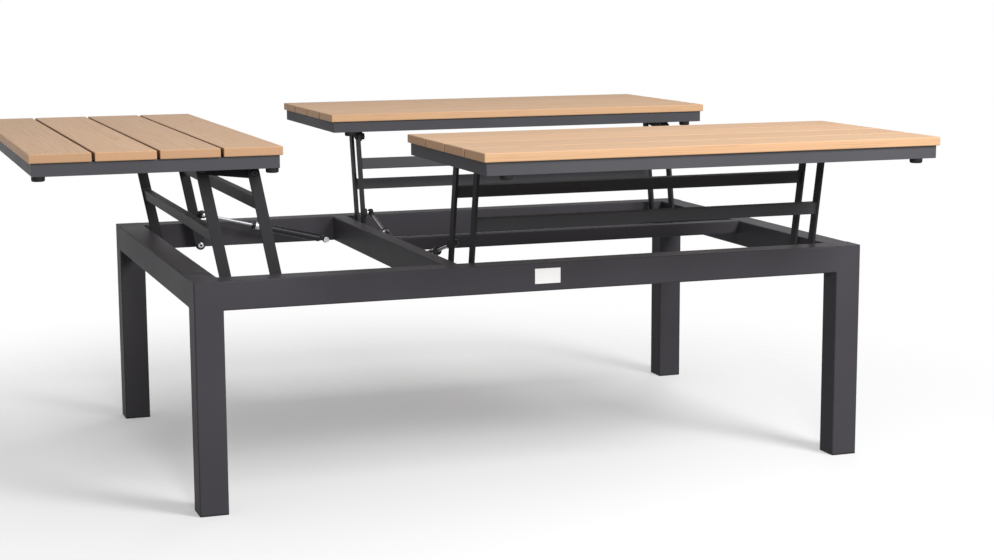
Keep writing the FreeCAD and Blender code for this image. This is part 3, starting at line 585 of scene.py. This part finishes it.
# %% [markdown]
# ## Finishes on the CAD parts
# Rails, legs, links and sub-frames already have the right shape, so they only get materials. A drawn
# edge is a perfect corner, though, and a real one always shows a thin line of light: a Weld modifier
# joins the loose triangles, Decimate turns flat ones into panels and a small Bevel breaks the corners,
# without touching the part's own mesh. The frame's tubes are already rounded and keep their edges.

# %% Dress the CAD parts
EDGE_BREAK = 0.7 * MM
BREAK_ANGLE = math.radians(40)
FLAT_ANGLE = math.radians(1)
# The cross bars get the lighter coat with painted light.
DRESS = {
    "leg_front": frame_coat, "leg_back": frame_coat, "leg_caps": frame_coat, "_rail": frame_coat,
    "foot_glides": glide_plastic, "_link_": link_coat, "_crossbar": bar_coat,
    "_top_frame": top_frame_coat, "_battens": top_frame_coat, "_top_brackets": bracket_coat,
    "spring_studs": zinc, "base_spacers": glide_plastic, "insert_nuts": zinc,
}


def break_edges(part):
    """Rounds the drawn corners of a CAD part with live modifiers."""
    weld = part.modifiers.new("join_triangles", "WELD")
    weld.merge_threshold = SAME_POINT
    panels = part.modifiers.new("flat_panels", "DECIMATE")
    panels.decimate_type = "DISSOLVE"
    panels.angle_limit = FLAT_ANGLE
    bevel = part.modifiers.new("broken_edges", "BEVEL")
    bevel.width = EDGE_BREAK
    bevel.segments = 2
    bevel.limit_method = "ANGLE"
    bevel.angle_limit = BREAK_ANGLE
    part.modifiers.new("flat_faces", "WEIGHTED_NORMAL")


dressed = 0
for name, part in nodes.items():
    finish = next((look for key, look in DRESS.items() if key in name), None)
    if finish is None:
        continue
    for slot in part.material_slots:
        slot.material = finish
    if finish is not frame_coat:
        break_edges(part)
    dressed += 1
print(f"{dressed} CAD parts dressed")

# %% [markdown]
# ## Welds ground flush
# The frame is welded and ground before coating, so no seam shows where a rail meets a leg. The CAD
# tubes have rounded corners, which leave a small groove at each of these joints. A narrow filler bar in
# each groove closes it, flush with the faces on both sides.

# %% Fill the grooves
TUBE_ROUND = 3 * MM
LEGS = ("leg_front_left", "leg_front_right", "leg_back_left", "leg_back_right")


def filler(shape, corner, opposite):
    """Bar between two corners of a groove."""
    low = Vector(map(min, corner, opposite))
    high = Vector(map(max, corner, opposite))
    bar = bmesh.ops.create_cube(shape, size=1.0)["verts"]
    bmesh.ops.scale(shape, vec=high - low, verts=bar)
    bmesh.ops.translate(shape, vec=(low + high) / 2, verts=bar)


def out_and_in(low, high, middle):
    """The outer and the inner of a leg's two sides, and a groove's width from inner to outer."""
    outer, inner = (low, high) if low < middle else (high, low)
    return outer, inner, math.copysign(TUBE_ROUND, outer - inner)


welds = bmesh.new()
rail_low, rail_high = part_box("front_rail")
frame_middle = (rail_low.x + rail_high.x) / 2
for leg in LEGS:
    low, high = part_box(leg)
    out_x, in_x, step_x = out_and_in(low.x, high.x, frame_middle)
    out_y, in_y, step_y = out_and_in(low.y, high.y, 0)
    filler(welds, (in_x, out_y, rail_low.z), (in_x + step_x, out_y - step_y, rail_high.z))
    filler(welds, (out_x, in_y, rail_low.z), (out_x - step_x, in_y + step_y, rail_high.z))
cross_low, cross_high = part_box("cross_rail")
for end, step in ((cross_low.y, -TUBE_ROUND), (cross_high.y, TUBE_ROUND)):
    filler(welds, (cross_low.x + TUBE_ROUND, end, cross_high.z),
           (cross_high.x - TUBE_ROUND, end + step, cross_high.z - TUBE_ROUND))
piece("frame_welds", welds, "frame", [frame_coat])
print("grooves filled at", len(LEGS), "legs and the cross rail")

# %% [markdown]
# ## Fillet welds on the cross bars
# The cross bars are welded all round to the links. A bead is a short sloping collar: a box whose far
# face is drawn in to the bar's own section. The inner ones stay small, because the plates of a closed
# top come to rest just above them.

# %% Lay the beads
BEADS = {"outer": 2.2 * MM, "inner": 0.8 * MM}
BEAD_TIP = 0.1
BEAD_ROUND = 0.2
SAME_END = 0.1 * MM


def bead_collar(wide, high, bead, side):
    """Collar that slopes from a link, at y = 0, down to a bar of this half width and half height."""
    collar = bmesh.new()
    bmesh.ops.create_cube(collar, size=1.0)
    for vert in collar.verts:
        at_link = vert.co.y * side > 0
        grow = bead if at_link else bead * BEAD_TIP
        vert.co.x = math.copysign(wide + grow, vert.co.x)
        vert.co.z = math.copysign(high + grow, vert.co.z)
        vert.co.y = 0.0 if at_link else -side * bead
    round_edges(collar, bead * BEAD_ROUND)
    return collar


for unit in units:
    tall = unit.link.normalized()
    deep = unit.along.cross(tall)
    for pair, bead in BEADS.items():
        bar = nodes[f"{unit.name}_{pair}_crossbar"]
        corners = [vert.co for vert in bar.data.vertices]
        beads = bmesh.new()
        for side in (-1, 1):
            end = max(corner.dot(unit.along) * side for corner in corners) * side
            ring = [corner for corner in corners if abs(corner.dot(unit.along) - end) < SAME_END]
            middle = sum(ring, Vector()) / len(ring)
            wide = max((corner - middle).dot(deep) for corner in ring)
            high = max((corner - middle).dot(tall) for corner in ring)
            collar = bead_collar(wide, high, bead, side)
            add_once(beads, collar, axes(middle, deep, unit.along, tall))
        bmesh.ops.recalc_face_normals(beads, faces=beads.faces)
        # The beads take the cross bars' coat with painted light.
        piece(f"{unit.name}_{pair}_beads", beads, f"{unit.name}_{pair}_arm", [bar_coat])
print("beads at both ends of", len(units) * len(BEADS), "cross bars")

# %% [markdown]
# ## Pivot bolts
# The links turn on shoulder bolts with a low domed head and a hexagon socket. A lathe outline makes the
# head; its open rim is then extruded inwards onto a hexagon and down into the socket. The sockets of
# these bright bolts are painted with the dark zinc, as painted shade in the hollow.

# %% Turn the bolts
LINK_THICKNESS = 5 * MM
PIN_RADIUS = 4 * MM
HEAD_RADIUS = 6.5 * MM
HEAD_HEIGHT = 4 * MM
HEAD_GAP = 0.3 * MM
HEAD_DOME = ((1.0, 0.0), (1.0, 0.3), (0.95, 0.55), (0.82, 0.82), (0.62, 1.0), (0.58, 1.0))
SOCKET = 5 * MM
SOCKET_DEPTH = 0.55
PAIRS = {"outer": "lift", "inner": "inner_arm_turn"}
SIDES = ("near", "far")


def sorted_out(made):
    """Points, open edges and faces among what an operator made."""
    points = [item for item in made["geom"] if isinstance(item, bmesh.types.BMVert)]
    edges = [item for item in made["geom"] if isinstance(item, bmesh.types.BMEdge)]
    faces = [item for item in made["geom"] if isinstance(item, bmesh.types.BMFace)]
    return points, [edge for edge in edges if edge.is_boundary], faces


def hexagon_socket(shape, across, depth, finish):
    """Closes the open rim of a head with a hexagon socket; its walls and floor take a finish of their
    own, which can paint shade into the socket.
    """
    rim = [edge for edge in shape.edges if edge.is_boundary]
    lip, lip_edges, _ = sorted_out(bmesh.ops.extrude_edge_only(shape, edges=rim))
    for vert in lip:
        angle = math.atan2(vert.co.y, vert.co.x) % (math.pi / 3) - math.pi / 6
        radius = across / 2 / math.cos(angle)
        vert.co.x, vert.co.y = vert.co.xy.normalized() * radius
    low, low_edges, walls = sorted_out(bmesh.ops.extrude_edge_only(shape, edges=lip_edges))
    bmesh.ops.translate(shape, vec=(0, 0, -depth), verts=low)
    bottom = bmesh.ops.edgeloop_fill(shape, edges=low_edges)["faces"]
    for face in bottom + walls:
        face.material_index = finish
    bmesh.ops.recalc_face_normals(shape, faces=shape.faces)


def socket_bolt(head_radius, head_height, shank_radius, shank_length, across, socket_shade=0):
    """Bolt along z with the seat of its head at the origin."""
    outline = [(0, -shank_length), (shank_radius, -shank_length), (shank_radius, 0)]
    outline += [(head_radius * out, head_height * up) for out, up in HEAD_DOME]
    shape = turned(outline, steps=36)
    hexagon_socket(shape, across, head_height * SOCKET_DEPTH, socket_shade)
    return shape


bolt = socket_bolt(HEAD_RADIUS, HEAD_HEIGHT, PIN_RADIUS, 2 * LINK_THICKNESS, SOCKET, socket_shade=1)
bolts = bmesh.new()
for unit in units:
    for pair, joint in PAIRS.items():
        for side in SIDES:
            beside, outboard = unit.beside(f"{pair}_link_{side}")
            seat = unit.pivot(joint) + beside - outboard * (LINK_THICKNESS / 2 + HEAD_GAP)
            add_copy(bolts, bolt, facing(seat, -outboard))
bolt.free()
# The second finish, dark zinc, is painted shade in the sockets of these bright bolts.
piece("pivot_bolts", bolts, "frame", [zinc, dark_zinc], ["base_bolts"])
print(len(units) * len(PAIRS) * len(SIDES), "pivot bolts")

# %% [markdown]
# ## Nuts and bolts of the tops
# Each top turns on four more bolts through its two plates. A plate runs between the two pairs of
# links, so the bolt of an inner link has its head outboard and that of an outer link inboard. A nut is
# a six-sided prism with its edges bevelled.

# %% Fit the bolts of the tops
BRACKET_THICKNESS = 4 * MM
NUT_RADIUS = 7.5 * MM
NUT_HEIGHT = 6 * MM
NUT_ROUND = 0.6 * MM
TO_HEAD = {"outer": -1, "inner": 1}
TO_SEAT = LINK_THICKNESS / 2 + HEAD_GAP
TO_NUT = TO_SEAT + BRACKET_THICKNESS + NUT_HEIGHT / 2


def hexagon_nut():
    """Nut about the origin, along z."""
    shape = bmesh.new()
    bmesh.ops.create_cone(shape, cap_ends=True, segments=6, radius1=NUT_RADIUS, radius2=NUT_RADIUS,
                          depth=NUT_HEIGHT)
    round_edges(shape, NUT_ROUND)
    return shape


bolt = socket_bolt(HEAD_RADIUS, HEAD_HEIGHT, PIN_RADIUS, TO_SEAT + TO_NUT + NUT_HEIGHT / 2, SOCKET)
nut = hexagon_nut()
for unit in units:
    fasteners = bmesh.new()
    for pair, joint in PAIRS.items():
        for side in SIDES:
            beside, outboard = unit.beside(f"{pair}_link_{side}")
            heading = outboard * TO_HEAD[pair]
            middle = unit.pivot(joint) + unit.link + beside
            add_copy(fasteners, bolt, facing(middle + heading * TO_SEAT, heading))
            add_copy(fasteners, nut, facing(middle - heading * TO_NUT, heading))
    piece(f"{unit.name}_top_fasteners", fasteners, f"{unit.name}_top", [dark_zinc],
          [f"{unit.name}_top_bolts"])
bolt.free()
nut.free()
print(len(units) * len(PAIRS) * len(SIDES), "bolts and nuts at the tops")

# %% [markdown]
# ## Gas springs
# A gas spring is a lacquered tube with a bright ring at its mouth, a dark collar in front that guides
# the chromed rod, and a black ball joint at either end. All of it is turned work: one outline for the
# hollow tube, one for the rod with its piston. Hollow matters, because the rod really slides inside.
# The small curves are written as steps in millimetres from the corner that they round.

# %% Draw the outlines
TUBE_RADIUS = 7.5 * MM
BORE_RADIUS = 6 * MM
BORE_FROM = 17 * MM
NECK_RADIUS = 4 * MM
NECK_FROM = 5 * MM
NECK_TO = 12 * MM
RING = 9 * MM
COLLAR = 6 * MM
COLLAR_RADIUS = 8.5 * MM
ROD_RADIUS = 3 * MM
ROD_PLAY = 0.1 * MM
ROD_END = 16 * MM
PISTON = 8 * MM
STUD_RADIUS = 4 * MM
STUD_THROAT = 3.4 * MM
EYE_RADIUS = 7 * MM
EYE_WIDTH = 10 * MM
EYE_OUTLINE = ((0, -0.5), (0.62, -0.5), (0.84, -0.46), (0.97, -0.28), (1, 0),
               (0.97, 0.28), (0.84, 0.46), (0.62, 0.5), (0, 0.5))
SHOULDER = ((-1.9, 0.8), (-0.6, 2.0), (0.0, 4.0))
COLLAR_BACK = ((-0.4, 0.0), (0.0, 0.5))
COLLAR_FRONT = ((0.0, -1.4), (-1.0, -0.3), (-2.4, 0.0))
ROD_SOCKET = ((0.0, -16.5), (3.9, -16.5), (4.6, -15.5), (4.6, -7.0), (5.2, -4.0), (0.0, -4.0))
STUD_HEAD = ((0.0, -1.4), (2.2, -1.2), (3.4, -0.4))
JOINT, BRIGHT = 1, 2


def curve(steps, radius, height):
    """Points of a small curve, given in millimetres from a corner at this radius and height."""
    return [(radius + out * MM, height + up * MM) for out, up in steps]


def ball_joint():
    """Moulded joint round a stud, turned about z."""
    return turned([(EYE_RADIUS * out, EYE_WIDTH * up) for out, up in EYE_OUTLINE], finish=JOINT)


def barrel(mouth):
    """Hollow tube with its neck, its bright ring and the collar in front of its mouth."""
    rim = mouth + COLLAR
    guide = ROD_RADIUS + ROD_PLAY
    outline = [(0, NECK_FROM), (NECK_RADIUS, NECK_FROM), (NECK_RADIUS, NECK_TO)]
    outline += curve(SHOULDER, TUBE_RADIUS, NECK_TO)
    outline += [(TUBE_RADIUS, mouth - RING), (TUBE_RADIUS, mouth)]
    outline += curve(COLLAR_BACK, COLLAR_RADIUS, mouth) + curve(COLLAR_FRONT, COLLAR_RADIUS, rim)
    outline += [(guide, rim), (guide, mouth - COLLAR), (BORE_RADIUS, mouth - COLLAR)]
    outline += [(BORE_RADIUS, BORE_FROM), (0, BORE_FROM)]
    shape = turned(outline, steps=40)
    for face in shape.faces:
        middle = face.calc_center_median()
        if mouth - RING < middle.z < mouth and middle.xy.length > BORE_RADIUS:
            face.material_index = BRIGHT
    return shape


def shaft(piston_at, eye_at):
    """Rod from its piston to its end inside the socket of the eye."""
    piston_radius = BORE_RADIUS - ROD_PLAY
    return turned([
        (0, piston_at), (piston_radius, piston_at), (piston_radius, piston_at + PISTON),
        (ROD_RADIUS, piston_at + PISTON), (ROD_RADIUS, eye_at - ROD_END), (0, eye_at - ROD_END),
    ])


def rod_socket(eye_at):
    """Moulded socket between the rod and its eye."""
    return turned(curve(ROD_SOCKET, 0, eye_at), steps=28, finish=JOINT)


def eye_stud(end):
    """Stud through a ball joint, from its small head to its end in the link."""
    outline = curve(STUD_HEAD, 0, -EYE_WIDTH / 2)
    outline += [(STUD_THROAT, 0), (STUD_RADIUS, EYE_WIDTH / 2), (STUD_RADIUS, end), (0, end)]
    return turned(outline, steps=28, finish=BRIGHT)


print(f"tube {2 * TUBE_RADIUS / MM:.0f} mm, rod {2 * ROD_RADIUS / MM:.0f} mm")

# %% [markdown]
# ## Gas springs in place
# The lower joint sits on a stud of the frame, the upper one beside the ear of an inner link. The mouth
# of the tube, the piston and the eye are measured on the CAD parts along the stroke, so the turned
# pieces take over their exact places.

# %% Fit the gas springs
for unit in units:
    beside, outboard = unit.beside("spring_tube")
    stud = unit.pivot("spring_swing") + beside
    way = -Vector(joints[f"{unit.name}_spring_stroke"]["axis"])
    _, mouth = unit.reach("spring_tube", stud, way)
    piston_at, eye_end = unit.reach("spring_rod", stud, way)
    _, stud_end = unit.reach("spring_rod", stud, outboard)
    eye_at = eye_end - EYE_RADIUS
    seat = facing(stud, way)
    eye_place = facing(stud + way * eye_at, outboard)

    tube = bmesh.new()
    add_once(tube, barrel(mouth), seat)
    add_once(tube, ball_joint(), facing(stud, outboard))
    piece(f"{unit.name}_gas_tube", tube, f"{unit.name}_spring_body",
          [spring_black, joint_plastic, zinc], [f"{unit.name}_spring_tube"])

    rod = bmesh.new()
    add_once(rod, shaft(piston_at, eye_at), seat)
    add_once(rod, rod_socket(eye_at), seat)
    add_once(rod, ball_joint(), eye_place)
    add_once(rod, eye_stud(stud_end), eye_place)
    piece(f"{unit.name}_gas_rod", rod, f"{unit.name}_spring_plunger",
          [rod_chrome, joint_plastic, zinc], [f"{unit.name}_spring_rod"])
    print(f"{unit.name} spring {eye_at / MM:.0f} mm between studs")

# %% [markdown]
# ## Rubber buffers
# Four buffers under each top land on the frame when it is down. They are moulded with a soft lower edge
# and a recess for the screw that holds them.

# %% Mould the buffers
BUFFER_RADIUS = 11 * MM
BUFFER_OUTLINE = ((0, 1.0), (0.97, 1.0), (1.0, 0.92), (1.0, 0.3), (0.93, 0.09), (0.8, 0.0),
                  (0.46, 0.0), (0.42, 0.06), (0.42, 0.5), (0, 0.5))
CORNERS = ((-1, -1), (-1, 1), (1, -1), (1, 1))
for unit in units:
    centre, (depth, length, height) = unit.span("buffers")
    moulded = turned([(BUFFER_RADIUS * out, height * up) for out, up in BUFFER_OUTLINE], steps=36)
    inward = unit.inward * (depth / 2 - BUFFER_RADIUS)
    along = unit.along * (length / 2 - BUFFER_RADIUS)
    buffers = bmesh.new()
    for x, y in CORNERS:
        spot = centre + inward * x + along * y - UP * height / 2
        add_copy(buffers, moulded, Matrix.Translation(spot))
    moulded.free()
    piece(f"{unit.name}_rubber_feet", buffers, f"{unit.name}_top", [rubber],
          [f"{unit.name}_buffers"])
print(len(units) * len(CORNERS), "buffers")

# %% [markdown]
# ## Screws below the boards
# Nothing shows on top of a board: it is held from below, by screws through the battens and through the
# feet of the pivot plates. A screw is the same turned head with a socket as a bolt, only smaller, and it
# sits in a shallow dimple so that little of it stands proud.

# %% Drive the screws
SCREW_HEAD_RADIUS = 4 * MM
SCREW_HEAD_HEIGHT = 2.4 * MM
SCREW_RADIUS = 2 * MM
SCREW_LENGTH = 12 * MM
SCREW_SOCKET = 3 * MM
SCREW_SPREAD = 0.28
FOOT = 32 * MM
FOOT_SPREAD = 0.3
DIMPLE = 1.4 * MM
screw = socket_bolt(SCREW_HEAD_RADIUS, SCREW_HEAD_HEIGHT, SCREW_RADIUS, SCREW_LENGTH, SCREW_SOCKET)
for unit in units:
    seats = []
    top_centre, _ = unit.span("slats")
    width, rows = board_rows(unit)
    centre, (_, spread, tube) = unit.span("battens")
    for batten in (-1, 0, 1):
        for row in rows:
            for side in (-SCREW_SPREAD, SCREW_SPREAD):
                seat = top_centre + unit.inward * (row + side * width)
                seat += unit.along * batten * (spread - tube) / 2
                seat.z = centre.z - tube / 2
                seats.append(seat)
    centre, (run, spread, height) = unit.span("top_brackets")
    for end in (-1, 1):
        for side in (-FOOT_SPREAD, FOOT_SPREAD):
            seat = centre + unit.inward * side * run + unit.along * end * (spread - FOOT) / 2
            seats.append(seat + UP * (height / 2 - BRACKET_THICKNESS))
    screws = bmesh.new()
    for seat in seats:
        add_copy(screws, screw, facing(seat + UP * DIMPLE, -UP))
    piece(f"{unit.name}_board_screws", screws, f"{unit.name}_top", [dark_zinc])
    print(unit.name, len(seats), "screws")
screw.free()

# %% [markdown]
# ## The bare plate
# A small white enamelled plate sits near the middle of the front rail: a slightly raised rim round a
# flat field, made by insetting the front face of a thin rounded block.

# %% Fix the plate
PLATE_SIZE = Vector((48 * MM, 1 * MM, 27 * MM))
PLATE_EDGE = 0.3 * MM
PLATE_RIM = 1.2 * MM
PLATE_STEP = 0.25 * MM
PLATE_ABOVE_MIDDLE = 2 * MM
ENAMEL_DULL = tint(246, 246, 244)
ENAMEL_BRIGHT = tint(254, 254, 253)


def enamel():
    """White enamel with faint clouds."""
    material, start = new_material("white_enamel")
    cloud = noise(start, object_place(start), scale=60.0, detail=3.0)
    shade = mix(start, cloud, ENAMEL_DULL, ENAMEL_BRIGHT)
    surface(start, {"Base Color": shade, "Roughness": swing(cloud, spread=0.1, middle=0.3)})
    return material


plate = block(PLATE_SIZE, PLATE_EDGE)
field = min(plate.faces, key=lambda face: face.calc_center_median().y)
for inset, sink in ((PLATE_RIM, 0.0), (PLATE_STEP, -PLATE_STEP)):
    bmesh.ops.inset_region(plate, faces=[field], thickness=inset, depth=sink, use_even_offset=True)
plate_at = Vector((frame_middle, rail_low.y - PLATE_SIZE.y / 2, (rail_low.z + rail_high.z) / 2))
plate_at.z += PLATE_ABOVE_MIDDLE
bmesh.ops.translate(plate, vec=plate_at, verts=plate.verts)
piece("bare_plate", plate, "frame", [enamel()])
print("plate at", [round(part, 3) for part in plate_at])

# %% [markdown]
# ## The floor
# The photograph is a plain product shot: white all round, and a pale floor with a light shadow. The
# floor lets some of that white through and clears into it away from the table, as a lit studio sweep
# does. It also looks paler than the light it sends back up, because the inner faces of the frame stay
# dark in the photograph.

# %% Lay the floor
FLOOR_HALF = 6.0
FADE_FROM = 0.2
FADE_TO = 1.7
FLOOR_CLEAR = 0.08
FLOOR_SEEN = (0.95, 0.95, 0.955, 1)
FLOOR_BOUNCE = (0.3, 0.3, 0.3, 1)


def background_rays(start):
    """1 for the rays that show the background, 0 for the diffuse rays that light the table."""
    kinds = ("Is Camera Ray", "Is Glossy Ray", "Is Transmission Ray")
    seen, glossy, through = (start.node("ShaderNodeLightPath", output=kind) for kind in kinds)
    return seen + glossy + through


def mix_shaders(start, factor, first, second):
    """Shader between two shaders."""
    return start.node("ShaderNodeMixShader", inputs={0: factor, 1: first, 2: second})


floor_shape = bmesh.new()
bmesh.ops.create_grid(floor_shape, x_segments=1, y_segments=1, size=FLOOR_HALF)
floor_mesh = bpy.data.meshes.new("floor")
floor_shape.to_mesh(floor_mesh)
floor_shape.free()
floor = bpy.data.objects.new("floor", floor_mesh)
scene.collection.objects.link(floor)
floor_paint, start = new_material("floor_paint")
place = object_place(start)
far = start.node("ShaderNodeVectorMath", {"operation": "LENGTH"}, {0: place}, output="Value")
fade = start.node(
    "ShaderNodeMapRange", {"interpolation_type": "SMOOTHSTEP"},
    {"Value": far, "From Min": FADE_FROM, "From Max": FADE_TO, "To Min": FLOOR_CLEAR},
)
pale = start.node("ShaderNodeBsdfDiffuse", inputs={"Color": FLOOR_SEEN})
dull = start.node("ShaderNodeBsdfDiffuse", inputs={"Color": FLOOR_BOUNCE})
paint = mix_shaders(start, background_rays(start), dull, pale)
faded = mix_shaders(start, fade, paint, start.node("ShaderNodeBsdfTransparent"))
start.node("ShaderNodeOutputMaterial", inputs={"Surface": faded})
floor_mesh.materials.append(floor_paint)
floor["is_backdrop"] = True
print(f"floor clears from {FADE_FROM} to {FADE_TO} m")

# %% [markdown]
# ## The light
# A soft box stands to the front right. Being near, it lights the front top more than the left and back
# ones. A smaller, lower card in front reaches under the tops and lights the low cross bars. A weak card
# behind keeps the back readable, without a reflection on the boards. The world fills the shadows. Rays
# from the camera and reflections see a white world; only diffuse rays see the dimmer fill, so the
# background is white without flooding the table.

# %% Set the lamps and the world
FILL = 0.37
LAMP_AIM = Vector((0.1, -0.2, 0.38))
LAMPS = {
    "soft_box": {"power": 80.0, "size": 1.1, "at": Vector((1.5, -2.4, 2.1)), "mirrored": True},
    "front_card": {"power": 38.0, "size": 0.6, "at": Vector((-0.6, -3.4, 1.6)), "mirrored": True},
    "back_card": {"power": 30.0, "size": 1.2, "at": Vector((2.2, 2.6, 0.6)), "mirrored": False},
}
for name, lamp in LAMPS.items():
    lamp_data = bpy.data.lights.new(name, "AREA")
    lamp_data.energy = lamp["power"]
    lamp_data.size = lamp["size"]
    lamp_object = bpy.data.objects.new(name, lamp_data)
    lamp_object.matrix_world = facing(lamp["at"], lamp["at"] - LAMP_AIM)
    lamp_object.visible_camera = False
    lamp_object.visible_glossy = lamp["mirrored"]
    scene.collection.objects.link(lamp_object)

world = bpy.data.worlds.new("white_room")
scene.world = world
world.use_nodes = True
world.node_tree.nodes.clear()
start = Wire(world.node_tree)
fill = start.node("ShaderNodeBackground", inputs={"Color": WHITE, "Strength": FILL})
white = start.node("ShaderNodeBackground", inputs={"Color": WHITE, "Strength": 1.0})
shown = mix_shaders(start, background_rays(start), fill, white)
start.node("ShaderNodeOutputWorld", inputs={"Surface": shown})
scene.view_settings.view_transform = "Standard"
print(len(LAMPS), "lamps, and a world with a fill of", FILL)

# %% [markdown]
# ## Measure
# The dressed table has to keep the size of its construction, so its box is printed.

# %% Print the size of the dressed table
low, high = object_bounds()
print("visual box", [round(side, 4) for side in high - low])
